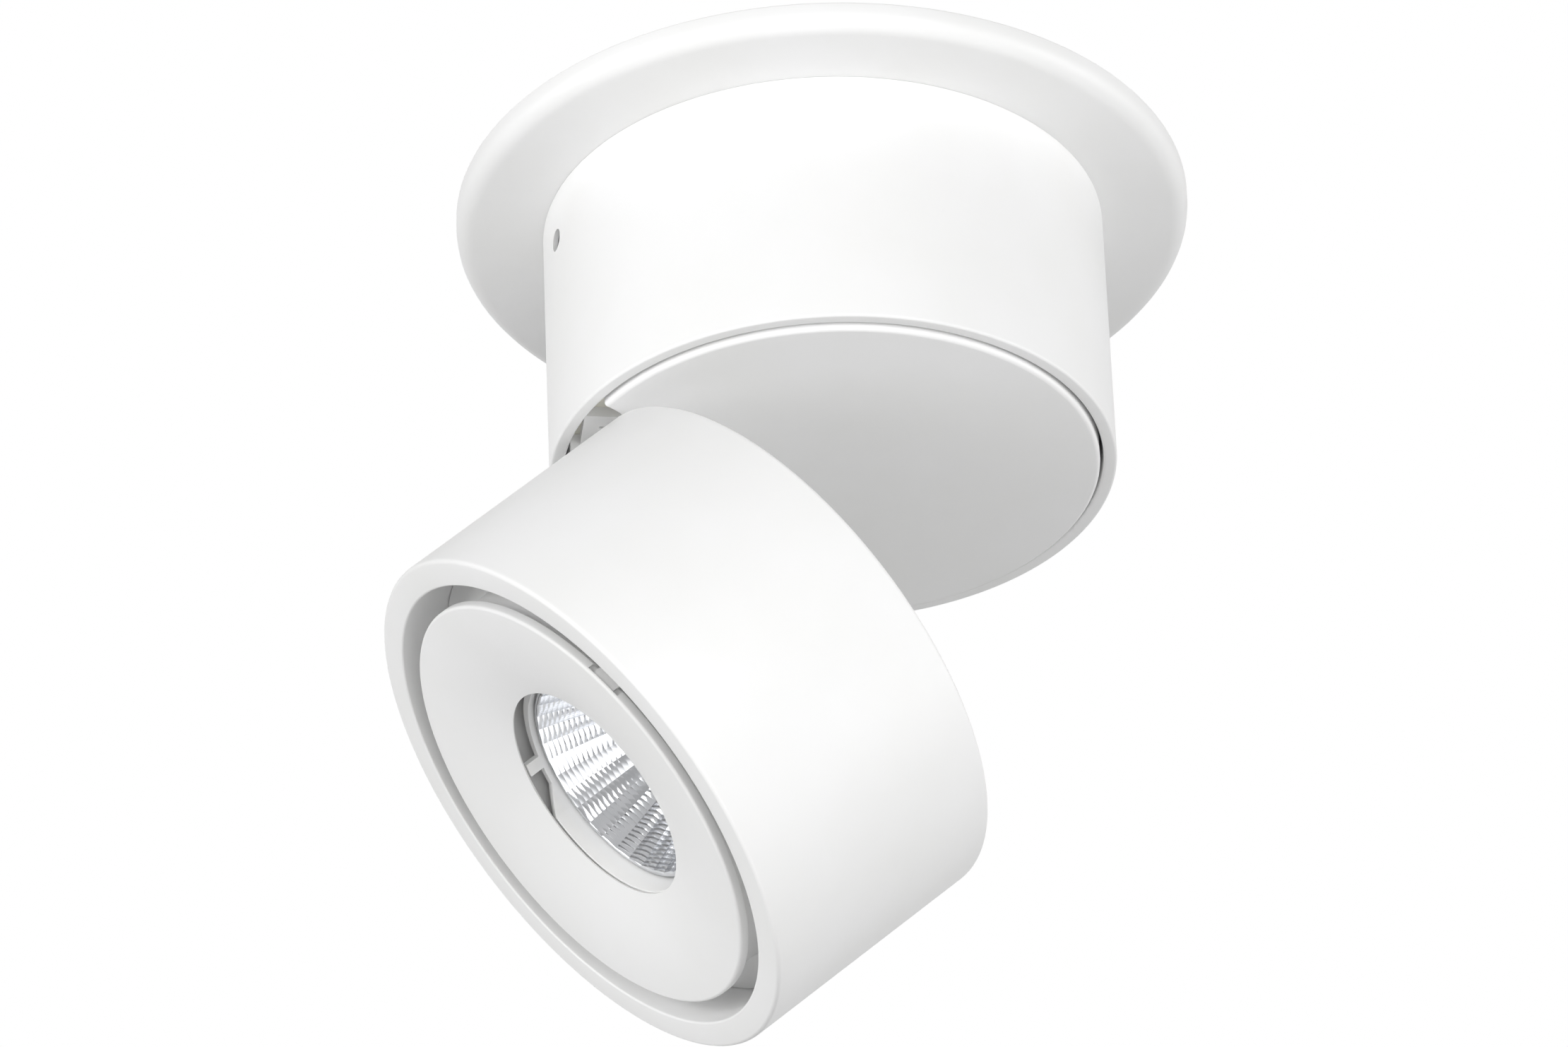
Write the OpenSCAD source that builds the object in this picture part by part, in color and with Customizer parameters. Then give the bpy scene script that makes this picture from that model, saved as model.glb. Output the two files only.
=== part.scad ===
// Ceiling spot light: a fixed drum under a round ceiling flange, with a lamp head of the same
// diameter that folds out of the drum's mouth on a side hinge and turns about the drum's axis.
// The origin is the middle of the ceiling side. +Z points up, and the head tilts towards -X.

/* [Ceiling flange] */
// Outer diameter of the flange
flange_d = 130.8; // [124:0.2:150]
// Height from the ceiling to the flange's flat underside
flange_h = 5; // [4.5:0.5:8]
// Sheet thickness of the flange
flange_wall = 1.6; // [1.2:0.1:2]
// Radius of the flange's rounded lower edge
flange_round = 3; // [2:0.5:4]

/* [Drum and head bodies] */
// Outer diameter of the drum and of the head
body_d = 100; // [98:1:110]
// Length of the fixed drum below the flange
drum_h = 50; // [48:1:60]
// Wall thickness of the drum
drum_wall = 2.4; // [2:0.1:3]
// Length of the lamp head
head_h = 50; // [50:1:60]
// Wall thickness of the head behind the heat sink's seat
head_wall = 2.5; // [2:0.1:3]
// Width of the flat ring round the head's front
ring_w = 5.2; // [4.6:0.1:6]
// Radius on the head's outer edges
head_edge = 0.8; // [0.4:0.1:1.2]
// Chamfer on the drum's and the ring's inner edges
edge_chamfer = 0.4; // [0.2:0.1:0.6]

/* [Ceiling bracket] */
// Thickness of the bracket plate
bracket_t = 2; // [1.5:0.5:2.5]
// Distance between the two ceiling screws
screw_pitch = 66; // [60:1:70]
// Width of the slots for the ceiling screws
slot_w = 5; // [4:0.5:5.5]
// End-to-end length of these slots
slot_l = 12; // [8:1:14]
// Diameter of the cable hole in the plate
cable_hole_d = 16; // [14:1:16]
// Bore of the rubber grommet in that hole
grommet_bore_d = 10; // [8:0.5:11]
// Width of the two legs that carry the drum
leg_w = 14; // [10:1:16]
// Direction of the first leg and its set screw, from +X
leg_az = 191.5; // [180:0.5:200]
// Distance of the set screws below the flange
set_drop = 9.5; // [8:0.5:16]
// Diameter of the set screws
set_d = 4; // [3:0.5:5]

/* [Turning joint] */
// How far the turning disc stands out of the drum's rim
disc_proud = 0.9; // [0.6:0.1:1.5]
// Gap between the disc and the drum's wall
disc_gap = 0.6; // [0.4:0.1:0.8]
// Height of the disc's cover
cover_h = 4.9; // [4.7:0.1:6]
// Skin thickness of the cover
cover_skin = 2; // [1.6:0.1:2]
// Radius on the cover's lower edge
cover_round = 1.2; // [0.6:0.1:1.6]
// Thickness of the disc's base plate
base_t = 3; // [2.5:0.5:4]
// Diameter of the hollow shaft
shaft_d = 16; // [14:1:18]
// Bore of the hollow shaft
shaft_bore_d = 11; // [9:0.5:11]
// Thickness of the web inside the drum
web_t = 3; // [2.5:0.5:4]
// Length of the bearing in the web
hub_l = 6; // [5:0.5:8]
// Distance of the stop pin from the axis
stop_r = 28; // [26:1:30]
// Radius of the bite in the cover beside the hinge
bite_r = 25; // [24:0.5:26]
// How far the middle of the bite lies outside the disc's edge
bite_out = 10; // [9:0.5:11]

/* [Tilting joint] */
// Gap between the disc and the folded head
fold_gap = 1.4; // [1.2:0.1:2]
// Distance of the hinge pin from the head's outer wall
hinge_in = 7.4; // [7:0.1:8]
// Distance of the hinge pin below the head's rear face
hinge_drop = 7; // [6.6:0.1:7.4]
// Tilt of the head from straight down, as drawn
rest_tilt = 48.8; // [0:0.1:90]
// Diameter of the hollow hinge pin
pin_d = 5; // [4.5:0.5:5]
// Bore of the hinge pin
pin_bore_d = 2.8; // [2.6:0.1:3]
// Radius of the hinge arm's eye
eye_r = 4.2; // [4:0.1:4.4]
// Thickness of the hinge arm
arm_t = 7; // [6:0.5:7]
// Width of the slot that the arm passes through
arm_slot_w = 14; // [13.6:0.2:16]

/* [Lamp] */
// Width of the groove between the front ring and the baffle
groove_w = 4.1; // [3.5:0.1:5]
// Depth of the groove's floor behind the front edge
groove_depth = 10.5; // [6:0.5:12]
// Diameter of the hole in the baffle
hole_d = 41.2; // [40:0.2:44]
// How far the baffle dips from its edge to the hole
dish_depth = 3.8; // [3:0.1:5]
// Sheet thickness of the baffle
baffle_t = 1.4; // [1:0.1:1.6]
// How much smaller the reflector's mouth is than the hole, in radius
mouth_step = 1.35; // [1.35:0.05:2]
// Depth of the reflector's mouth behind the front
mouth_depth = 8.2; // [8:0.1:9]
// Wall thickness of the reflector
reflector_t = 1.2; // [1:0.1:1.2]
// Depth of the heat sink's face behind the front
seat_depth = 28.2; // [28:0.1:30]
// Thickness of the heat sink's plate
sink_t = 5; // [4:0.5:6]
// Height of the heat sink's fins
fin_h = 10; // [6:1:10]
// Thickness of each fin
fin_t = 1.8; // [1.2:0.2:2.4]
// Distance from fin to fin
fin_pitch = 7; // [5:0.5:9]
// Thickness of the rear cover
rear_t = 2; // [1.5:0.5:2.5]
// Side of the square board that carries the light source
board_w = 19; // [17:0.5:20]
// Diameter of the light source
chip_d = 12; // [9:0.5:13]

/* [Hidden] */
$fn = 96;

// Clearances
run_gap = 0.1;      // axial play of running faces
run_fit = 0.05;     // radial play of running bores
thread_fit = 0.05;  // radial play of screws in their holes
slip_fit = 0.2;     // radial play of discs that slide into a tube
clear = 0.5;        // room round what moves
past = 1;           // how far a cut runs past a face
bond = 0.01;        // how far the shapes of one piece run into each other

// Screws, all of the small M3 kind, and how far they reach into thick, middling and thin metal
m3_r = 1.5;
m3_head_r = 2.8;
m3_head_h = 1.8;
cross_l = 3.2;
cross_w = 0.7;
cross_deep = 1;
deep_in = 6;
half_in = 3;
thin_in = 2;
hole_spare = 0.4;

// Drum, from the ceiling down
body_r = body_d / 2;
drum_in = body_r - drum_wall;
z_flange = -flange_h;
z_rim = z_flange - drum_h;
z_face = z_rim - disc_proud;
z_base = z_face + cover_h;
z_base_top = z_base + base_t;
rotor_hub_h = 0.9;
thrust_t = 1;
z_thrust = z_base_top + rotor_hub_h;
z_hub = z_thrust + thrust_t + run_gap;
z_hub_top = z_hub + hub_l;
web_rise = 1;
z_web = z_hub + web_rise;
z_web_top = z_web + web_t;
wave_t = 1;
nut_t = 5;
z_wave = z_hub_top + run_gap;
z_nut = z_wave + wave_t;
shaft_tail = 2;
z_shaft_top = z_nut + nut_t + shaft_tail;
hub_wall = 5;
wave_wall = 3.5;
nut_wall = 6;
hub_r = shaft_d / 2 + hub_wall;
wave_r = shaft_d / 2 + wave_wall;
nut_r = shaft_d / 2 + nut_wall;
web_rib_t = 2;

// Ceiling bracket and what hangs on it
leg_t = 2;
leg_out = sqrt(pow(drum_in, 2) - pow(leg_w / 2, 2)) - clear;
z_set = z_flange - set_drop;
leg_tail = 6;
leg_l = -z_set + leg_tail;
set_sunk = 0.8;
set_l = body_r - set_sunk - (leg_out - leg_t);
hex_r = set_d / 4 + 0.1;
hex_deep = 1.8;
grommet_h = 2;
grommet_lip = 2.5;
grommet_r = cable_hole_d / 2 + grommet_lip;
earth_pos = [22, -14];

// Driver
case_size = [52, 26, 22];
case_y = grommet_r + clear + case_size[1] / 2;
case_wall = 1.5;
ear_w = 7;
ear_t = 2;
lid_t = 1.5;
z_case = -bracket_t;
ear_x = (case_size[0] + ear_w) / 2;
case_front = case_y - case_size[1] / 2;
case_floor = z_case - case_size[2];
entry_drop = 10;
z_entry = z_case - entry_drop;
mains_x = [-12, -8];
output_x = 10;
entry_in = 2;
board_t = 1.6;
board_rise = 5;
board_gap = 0.5;
board_x = case_size[0] - 2 * (case_wall + board_gap);
board_y = case_size[1] - 2 * (case_wall + board_gap);
z_pcb = case_floor + board_rise;
stud_in = [2, 3];
transformer = [15, 14, 11];
transformer_at = [-5, -7];
capacitor_r = 5;
capacitor_h = 12;
capacitor_at = [board_x / 2 - capacitor_r, -2];
coil_r = 4;
coil_h = 9;
coil_at = [coil_r - board_x / 2, 4];

// Terminal block, and the leads that leave it
block_size = [30, 15, 13];
block_y = -27;
pole_pitch = 9;
pole_x = [-pole_pitch, 0, pole_pitch];
pole_drop = 7;
z_pole = z_case - pole_drop;
pole_hole_r = 1.6;
block_screw_r = 2;
block_screw_sunk = 0.5;
slit_w = 0.8;
peg_r = 1.5;
peg_l = 1.7;
peg_x = block_size[0] / 3;
bend_out = 5.5;
bend_y = block_y + block_size[1] / 2 + bend_out;
rise_y = 2;
earth_turn = 5.5;

// Turning disc
disc_r = drum_in - disc_gap;
bite_x = -(disc_r + bite_out);
bite_wall = 1.5;
skirt_t = 2;
base_r = disc_r - 0.4;
flange_wall_r = 6;
flange_r = shaft_d / 2 + flange_wall_r;
flange_t = 2;
shaft_screw_r = flange_r - m3_head_r - hole_spare;
shaft_screw_az = [0, 120, 240];
boss_r = 3.5;
rotor_screw_r = 36;
rotor_screw_az = [0, 75, -75];
stop_pin_r = 1.5;
stop_pin_l = 2;
stop_az = 90;
lead_r = 1.2;
lead_room = 0.5;
z_lead = (z_face + cover_skin + z_base) / 2;

// Hinge and head, drawn folded: the head hangs straight down below the disc
z_rear = z_face - fold_gap;
z_front = z_rear - head_h;
pin_x = -(body_r - hinge_in);
z_pin = z_rear - hinge_drop;
pin_r = pin_d / 2;
foot_t = 2;
foot_size = [9, 25];
foot_shift = 2;
foot_x = pin_x + foot_shift;
arm_screw_y = 9;
washer_t = 0.8;
cheek_y = arm_t / 2 + washer_t + run_gap;
cheek_t = 2;
cheek_end = cheek_y + cheek_t;
pin_head_r = 4.2;
pin_head_t = 1.8;
pin_end = 3;
pin_nut_t = 2.4;
slot_low = z_pin - eye_r - clear;
slot_in = pin_x + eye_r + clear;
head_in = body_r - head_wall;
ring_r = body_r - ring_w;
z_seat = z_front + seat_depth;
z_sink = z_seat + sink_t;
z_cover = z_rear - rear_t;
sink_r = head_in - slip_fit;
fin_r = sink_r - 4;
fin_start = -20;
sink_screw_r = ring_r - 2.8;
sink_screw_az = [75, 195, -48];
sink_boss_r = 4;
sink_boss_l = 10;
rear_screw_r = 36;
rear_screw_az = [0, 118, -118];
vent_w = 2.4;
vent_l = 34;
vent_x = 8;
cheek_out = 3.6;
cheek_back = 7.6;
tongue_l = 10;
fork_screw_x = pin_x + cheek_back + tongue_l / 2;
fork_screw_y = 3.5;
sink_hole = [-26, 12];
lead_end = [-19.5, 8];

// Lamp
baffle_r = ring_r - groove_w;
hole_r = hole_d / 2;
mouth_r = hole_r - mouth_step;
dish_power = 2;
pad_depth = 2;
pad_r = baffle_r - 8;
dish_steps = 14;
hole_lip = 0.3;
lip_taper = 2.4;
seam = 0.4;
collar_wall = 1.2;
collar_ring = 0.85;
collar_skirt = 1.5;
rib_az = 139.5;
rib_half = 3.3;
window_end = 205;
slant_near = 127;
slant_far = 112;
foot_depth = 25.6;
holder_t = seat_depth - foot_depth;
reflector_foot_r = 11;
reflector_foot_t = 1.2;
throat_r = 7.6;
holder_r = 21;
holder_hole_r = 9;
holder_screw_r = 16.5;
led_board_t = 1;
chip_t = 0.6;
facet_columns = 36;
facet_rows = 8;
flare = 0.62;
clip_az = [-90, 90];
clip_w = 7;
clip_t = 0.5;
clip_leg = 6;
floor_t = 1.2;
skirt_r = baffle_r - 3.4;
skirt_out = baffle_r - 2;
sleeve_r = hole_r + 4;
sleeve_t = 1.4;
sleeve_l = 10;
z_groove = z_front + groove_depth;
z_skirt = z_groove + floor_t;
tongue_w = 4.8;
tongue_x = baffle_r - 0.7;
notch_w = 7.2;
notch_lip = 0.6;
notch_gap = 0.1;

// Points along an arc of a profile
function arc(c, r, a0, a1, n = 6) =
    [for (i = [0 : n]) let (a = a0 + (a1 - a0) * i / n) c + r * [cos(a), sin(a)]];

// A cylinder from one height to another
module rod(r, z0, z1, at = [0, 0]) translate([at[0], at[1], z0]) cylinder(r = r, h = z1 - z0);

// A ring from one height to another
module ring(r_out, r_in, z0, z1) difference() {
    rod(r_out, z0, z1);
    rod(r_in, z0 - past, z1 + past);
}

// Turns a profile of radius and height into a solid
module turned(points) rotate_extrude() polygon(points);

// Puts its child at the hinge pin, with the pin's direction as its own Z
module on_pin() translate([pin_x, 0, z_pin]) rotate([90, 0, 0]) children();

// A slot with round ends along X, from one height to another
module slot(l, w, z0, z1) translate([0, 0, z0]) linear_extrude(z1 - z0) {
    square([l - w, w], center = true);
    for (s = [-1, 1]) translate([s * (l - w) / 2, 0]) circle(d = w);
}

// Copies its child at a list of directions, at a distance from the axis
module spread(azimuths, r) for (a = azimuths) rotate(a) translate([r, 0, 0]) children();

// Cross recess sunk into a screw's head from a height
module cross_recess(z) for (a = [0, 90]) rotate(a)
    translate([-cross_l / 2, -cross_w / 2, z - cross_deep]) cube([cross_l, cross_w, cross_deep + past]);

// A pan-head screw that points down from z = 0
module pan_screw(l) difference() {
    union() {
        rod(m3_head_r, 0, m3_head_h);
        rod(m3_r - thread_fit, -l, bond);
    }
    cross_recess(m3_head_h);
}

// A countersunk screw that points down, its head flush with z = 0
module flat_screw(l) difference() {
    union() {
        translate([0, 0, -m3_r]) cylinder(r1 = m3_r - thread_fit, r2 = m3_head_r, h = m3_r);
        rod(m3_r - thread_fit, -l, bond - m3_r);
    }
    cross_recess(0);
}

// The hole for a countersunk screw
module flat_hole(l) {
    translate([0, 0, -m3_r]) cylinder(r1 = m3_r, r2 = m3_head_r, h = m3_r);
    rod(m3_r, -l, bond - m3_r);
    rod(m3_head_r, 0, past);
}

// Unit vector
function unit(v) = v / norm(v);

// Point on the way from one point to the next, at most a reach away
function towards(from, to, reach) = from + min(reach, 0.4 * norm(to - from)) * unit(to - from);

// Rounds each corner of a route with three points
function eased(p, reach) = concat([p[0]],
    [for (i = [1 : len(p) - 2]) let (a = towards(p[i], p[i - 1], reach), b = towards(p[i], p[i + 1], reach))
        each [a, 0.25 * (a + b) + 0.5 * p[i], b]],
    [p[len(p) - 1]]);

// Direction of a route at one of its points
function heading(p, i) = i == 0 ? unit(p[1] - p[0])
    : i == len(p) - 1 ? unit(p[i] - p[i - 1])
    : unit(unit(p[i] - p[i - 1]) + unit(p[i + 1] - p[i]));

// A round wire along a route, as one swept skin of eight sides. No wire runs along the skew direction.
module wire(route, r) {
    sides = 8;
    skew = [0.36, 0.48, 0.8];
    p = eased(route, 2 * r);
    last = len(p) - 1;
    rings = [for (i = [0 : last])
        let (u = unit(cross(heading(p, i), skew)), v = cross(heading(p, i), u))
        each [for (k = [0 : sides - 1]) p[i] + r * (cos(360 * k / sides) * u + sin(360 * k / sides) * v)]];
    polyhedron(rings, concat(
        [[for (k = [0 : sides - 1]) k]],
        [[for (k = [0 : sides - 1]) last * sides + sides - 1 - k]],
        [for (i = [0 : last - 1]) for (k = [0 : sides - 1])
            let (a = i * sides + k, b = i * sides + (k + 1) % sides)
            each [[b, a, a + sides], [b, a + sides, b + sides]]]));
}

// Tilts the folded head to its rest position about the hinge pin
module tilted()
    translate([pin_x, 0, z_pin]) rotate([0, rest_tilt, 0]) translate([-pin_x, 0, -z_pin]) children();

// Pressed steel plate with two down-turned legs
module ceiling_bracket() color("silver") difference() {
    union() {
        rod(leg_out - leg_t / 2, -bracket_t, 0);
        for (a = [0, 180]) rotate(leg_az + a)
            translate([leg_out - leg_t, -leg_w / 2, -leg_l]) cube([leg_t, leg_w, leg_l]);
    }
    rod(cable_hole_d / 2, -bracket_t - past, past);
    for (s = [-1, 1]) translate([s * screw_pitch / 2, 0, 0]) slot(slot_l, slot_w, -bracket_t - past, past);
    for (a = [0, 180]) rotate(leg_az + a) translate([leg_out - leg_t - past, 0, z_set]) rotate([0, 90, 0])
        cylinder(d = set_d, h = leg_t + 2 * past);
    for (s = [-1, 1]) {
        rod(m3_r, -bracket_t - past, past, [s * ear_x, case_y]);
        rod(peg_r + thread_fit, -bracket_t - past, past, [s * peg_x, block_y]);
    }
    rod(m3_r, -bracket_t - past, past, earth_pos);
}

// Rubber bush in the cable hole
module cable_grommet() color("dimgray") difference() {
    union() {
        rod(cable_hole_d / 2 - thread_fit, -bracket_t - bond, 0);
        rod(grommet_r, -bracket_t - grommet_h, -bracket_t);
    }
    rod(grommet_bore_d / 2, -bracket_t - grommet_h - past, past);
}

// Brass screw for the earth wire
module earth_screw() color("goldenrod")
    translate([earth_pos[0], earth_pos[1], -bracket_t]) mirror([0, 0, 1]) pan_screw(bracket_t);

// Spun dish between the ceiling and the drum
module ceiling_flange() color("white") {
    r = flange_d / 2;
    hole = drum_in - slip_fit;
    turned(concat(
        [[hole, z_flange]],
        arc([r - flange_round, z_flange + flange_round], flange_round, -90, 0, 10),
        [[r, 0], [r - flange_wall, 0]],
        arc([r - flange_round, z_flange + flange_round], flange_round - flange_wall, 0, -90, 10),
        [[hole, z_flange + flange_wall]]));
}

// Cast drum with a web that carries the turning disc
module drum_housing() color("white") difference() {
    union() {
        turned([
            [drum_in, z_rim + edge_chamfer], [drum_in + edge_chamfer, z_rim],
            [body_r - edge_chamfer, z_rim], [body_r, z_rim + edge_chamfer],
            [body_r, z_flange], [drum_in, z_flange]]);
        rod(drum_in + drum_wall / 2, z_web, z_web_top);
        rod(hub_r, z_hub, z_hub_top);
        for (a = [0 : 60 : 300]) rotate(a) translate([hub_r - past, -web_rib_t / 2, z_web_top - bond])
            cube([drum_in - hub_r + past + drum_wall / 2, web_rib_t, web_t]);
    }
    rod(shaft_d / 2 + run_fit, z_hub - past, z_hub_top + past);
    for (a = [0, 180]) rotate(leg_az + a) translate([leg_out, 0, z_set]) rotate([0, 90, 0])
        cylinder(d = set_d + 2 * thread_fit, h = drum_wall + 3 * past);
    rotate(stop_az) rod(stop_pin_r, z_web - past, z_web_top + web_t + past, [stop_r, 0]);
}

// Grub screws that lock the drum to the bracket's legs
module set_screws() color("dimgray") for (a = [0, 180]) rotate(leg_az + a)
    translate([leg_out - leg_t, 0, z_set]) rotate([0, 90, 0]) difference() {
        cylinder(r = set_d / 2 - thread_fit, h = set_l);
        translate([0, 0, set_l - hex_deep]) cylinder(r = hex_r, h = hex_deep + past, $fn = 6);
    }

// Dowel that ends the turn
module stop_pin() color("silver") rotate(stop_az)
    rod(stop_pin_r - thread_fit, z_web - stop_pin_l, z_web_top, [stop_r, 0]);

// Moulded box of the LED driver, with an ear at each end
module driver_case() color("whitesmoke") translate([0, case_y, case_floor]) difference() {
    union() {
        translate([-case_size[0] / 2, -case_size[1] / 2, 0])
            cube([case_size[0], case_size[1], case_size[2] - lid_t]);
        for (s = [-1, 1]) translate([s * ear_x, 0, case_size[2] - ear_t / 2])
            cube([ear_w + 2 * case_wall, ear_w, ear_t], center = true);
    }
    translate([case_wall - case_size[0] / 2, case_wall - case_size[1] / 2, case_wall])
        cube([case_size[0] - 2 * case_wall, case_size[1] - 2 * case_wall, case_size[2]]);
    for (s = [-1, 1]) rod(m3_r, case_size[2] - ear_t - past, case_size[2] + past, [s * ear_x, 0]);
    for (x = concat(mains_x, output_x))
        translate([x, -case_size[1] / 2 - past, z_entry - case_floor]) rotate([-90, 0, 0])
            cylinder(r = lead_r + lead_room, h = case_wall + 2 * past);
}

// Lid between the driver's box and the bracket
module driver_lid() color("whitesmoke") translate([0, case_y, z_case - lid_t]) difference() {
    translate([-case_size[0] / 2, -case_size[1] / 2, 0]) cube([case_size[0], case_size[1], lid_t]);
    for (s = [-1, 1]) translate([s * ear_x, 0, lid_t / 2])
        cube([ear_w + 2 * case_wall + 2 * thread_fit, ear_w + 2 * thread_fit, lid_t + past], center = true);
}

// Circuit board with its transformer, capacitor and coil
module driver_board() color("seagreen") translate([0, case_y, z_pcb]) {
    translate([-board_x / 2, -board_y / 2, 0]) cube([board_x, board_y, board_t]);
    translate(concat(transformer_at, board_t - bond)) cube(transformer);
    rod(capacitor_r, board_t - bond, capacitor_h, capacitor_at);
    rod(coil_r, board_t - bond, coil_h, coil_at);
    for (s = [-1, 1])
        rod(m3_r, case_wall - board_rise, bond, s * [board_x / 2 - stud_in[0], board_y / 2 - stud_in[1]]);
}

// Screws that hang the driver on the bracket
module driver_screws() color("silver") for (s = [-1, 1])
    translate([s * ear_x, case_y, z_case - ear_t]) mirror([0, 0, 1]) pan_screw(ear_t + bracket_t);

// Three-pole terminal block with two pegs in the plate
module terminal_block() color("ivory") difference() {
    union() {
        translate([-block_size[0] / 2, block_y - block_size[1] / 2, z_case - block_size[2]])
            cube(block_size);
        for (s = [-1, 1]) rod(peg_r, z_case - bond, z_case + peg_l, [s * peg_x, block_y]);
    }
    for (x = pole_x) {
        rod(block_screw_r + thread_fit, z_case - block_size[2] - past, z_pole, [x, block_y]);
        translate([x, block_y - block_size[1], z_pole]) rotate([-90, 0, 0])
            cylinder(r = pole_hole_r, h = 2 * block_size[1]);
    }
}

// Clamping screws in the terminal block
module terminal_screws() color("goldenrod") for (x = pole_x) {
    low = z_case - block_size[2] + block_screw_sunk;
    difference() {
        rod(block_screw_r, low, z_pole - lead_r - run_gap, [x, block_y]);
        translate([x - block_screw_r - past, block_y - slit_w / 2, low - past])
            cube([2 * (block_screw_r + past), slit_w, slit_w + past]);
    }
}

// Wires from the terminal block to the driver and to the earth screw
module mains_leads() color("saddlebrown") {
    for (i = [0, 1]) wire([
        [pole_x[i], block_y, z_pole], [pole_x[i], bend_y, z_pole],
        [mains_x[i], rise_y, z_entry], [mains_x[i], case_front + case_wall + entry_in, z_entry]], lead_r);
    wire([
        [pole_x[2], block_y, z_pole], [pole_x[2], bend_y, z_pole],
        [earth_pos[0] - earth_turn, earth_pos[1], z_pole],
        [earth_pos[0], earth_pos[1], -bracket_t - m3_head_h - lead_r]], lead_r);
}

// Lead from the driver into the hollow shaft
module output_lead() color("dimgray") wire([
    [output_x, case_front + case_wall + entry_in, z_entry], [output_x, rise_y, z_entry],
    [lead_r, 0, z_shaft_top + deep_in], [0, 0, z_shaft_top], [0, 0, z_hub_top]], lead_r);

// Plate of the turning disc, with the stop that meets the dowel
module rotor_base() color("white") difference() {
    union() {
        rod(base_r, z_base, z_base_top);
        rod(hub_r, z_base_top - bond, z_thrust);
        rotate(stop_az + 180) rod(stop_pin_r, z_base_top - bond, z_web - clear, [stop_r, 0]);
    }
    rod(shaft_d / 2 + thread_fit, z_base - past, z_thrust + past);
    spread(rotor_screw_az, rotor_screw_r) rod(m3_r, z_base - past, z_base_top + past);
    spread(shaft_screw_az, shaft_screw_r) rod(m3_r, z_base - past, z_base + thin_in + hole_spare);
    for (s = [-1, 1])
        rod(m3_r, z_base - past, z_base + thin_in + hole_spare, [foot_x, s * arm_screw_y]);
}

// Face of the turning disc, with the bite that the head's rear edge swings through
module rotor_cover() color("white") difference() {
    turned(concat(
        [[0, z_face]],
        arc([disc_r - cover_round, z_face + cover_round], cover_round, -90, 0),
        [[disc_r, z_base], [0, z_base]]));
    difference() {
        rod(disc_r - skirt_t, z_face + cover_skin, z_base + past);
        rod(bite_r + bite_wall, z_face - past, z_base + 2 * past, [bite_x, 0]);
        spread(rotor_screw_az, rotor_screw_r) rod(boss_r, z_face, z_base + 2 * past);
    }
    rod(bite_r, z_face - past, z_base + past, [bite_x, 0]);
    spread(rotor_screw_az, rotor_screw_r) rod(m3_r, z_face + cover_skin - hole_spare, z_base + past);
    translate([bite_x + bite_r - past, 0, z_lead]) rotate([0, 90, 0])
        cylinder(r = lead_r + lead_room, h = bite_wall + 2 * past);
}

// Screws that hold the cover to the base
module rotor_screws() color("silver") spread(rotor_screw_az, rotor_screw_r)
    translate([0, 0, z_base_top]) pan_screw(base_t + cover_h - cover_skin);

// Shaft with a flange below the base and a slot for the lead
module hollow_shaft() color("silver") difference() {
    union() {
        rod(shaft_d / 2, z_base - flange_t, z_shaft_top);
        rod(flange_r, z_base - flange_t, z_base);
    }
    rod(shaft_bore_d / 2, z_base - flange_t - past, z_shaft_top + past);
    spread(shaft_screw_az, shaft_screw_r) translate([0, 0, z_base - flange_t]) mirror([0, 0, 1])
        flat_hole(flange_t + past);
    translate([-flange_r - past, -lead_r - lead_room, z_base - flange_t - past])
        cube([flange_r + past, 2 * (lead_r + lead_room), flange_t + past]);
}

// Screws through the shaft's flange
module shaft_screws() color("silver") spread(shaft_screw_az, shaft_screw_r)
    translate([0, 0, z_base - flange_t]) mirror([0, 0, 1]) flat_screw(flange_t + thin_in);

// Plastic ring that the disc turns on
module thrust_washer() color("ivory")
    ring(hub_r, shaft_d / 2 + run_fit, z_thrust, z_thrust + thrust_t);

// Spring ring under the nut
module wave_washer() color("silver") ring(wave_r, shaft_d / 2 + run_fit, z_wave, z_wave + wave_t);

// Thin nut that holds the shaft in the web
module lock_nut() color("silver") difference() {
    translate([0, 0, z_nut]) cylinder(r = nut_r, h = nut_t, $fn = 6);
    rod(shaft_d / 2 + thread_fit, z_nut - past, z_nut + nut_t + past);
}

// Cast arm with a foot under the base and an eye round the hinge pin
module hinge_arm() color("white") difference() {
    union() {
        on_pin() cylinder(r = eye_r, h = arm_t, center = true);
        translate([pin_x - eye_r, -arm_t / 2, z_pin]) cube([2 * eye_r, arm_t, z_base - z_pin]);
        translate([foot_x - foot_size[0] / 2, -foot_size[1] / 2, z_base - foot_t])
            cube(concat(foot_size, foot_t));
    }
    on_pin() cylinder(r = pin_r + run_fit, h = arm_t + 2 * past, center = true);
    rod(lead_r + lead_room, z_pin, z_base + past, [pin_x, 0]);
    translate([pin_x, 0, z_lead]) rotate([0, 90, 0]) cylinder(r = lead_r + lead_room, h = foot_size[0]);
    for (s = [-1, 1]) translate([foot_x, s * arm_screw_y, z_base - foot_t]) mirror([0, 0, 1])
        flat_hole(foot_t + past);
}

// Screws through the arm's foot
module hinge_arm_screws() color("white") for (s = [-1, 1])
    translate([foot_x, s * arm_screw_y, z_base - foot_t]) mirror([0, 0, 1]) flat_screw(foot_t + thin_in);

// Lead from the shaft through the disc and down the hinge arm
module rotor_lead() color("dimgray") wire([
    [0, 0, z_hub_top - hole_spare], [0, 0, z_lead + half_in], [-half_in, 0, z_lead],
    [pin_x + past, 0, z_lead], [pin_x, 0, z_lead - past], [pin_x, 0, z_pin + pin_r + hole_spare]], lead_r);

// Slot in the head's rear edge that the hinge arm swings through
module arm_slot() translate([-body_r - past, -arm_slot_w / 2, slot_low])
    cube([slot_in + body_r + past, arm_slot_w, z_rear - slot_low + past]);

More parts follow.
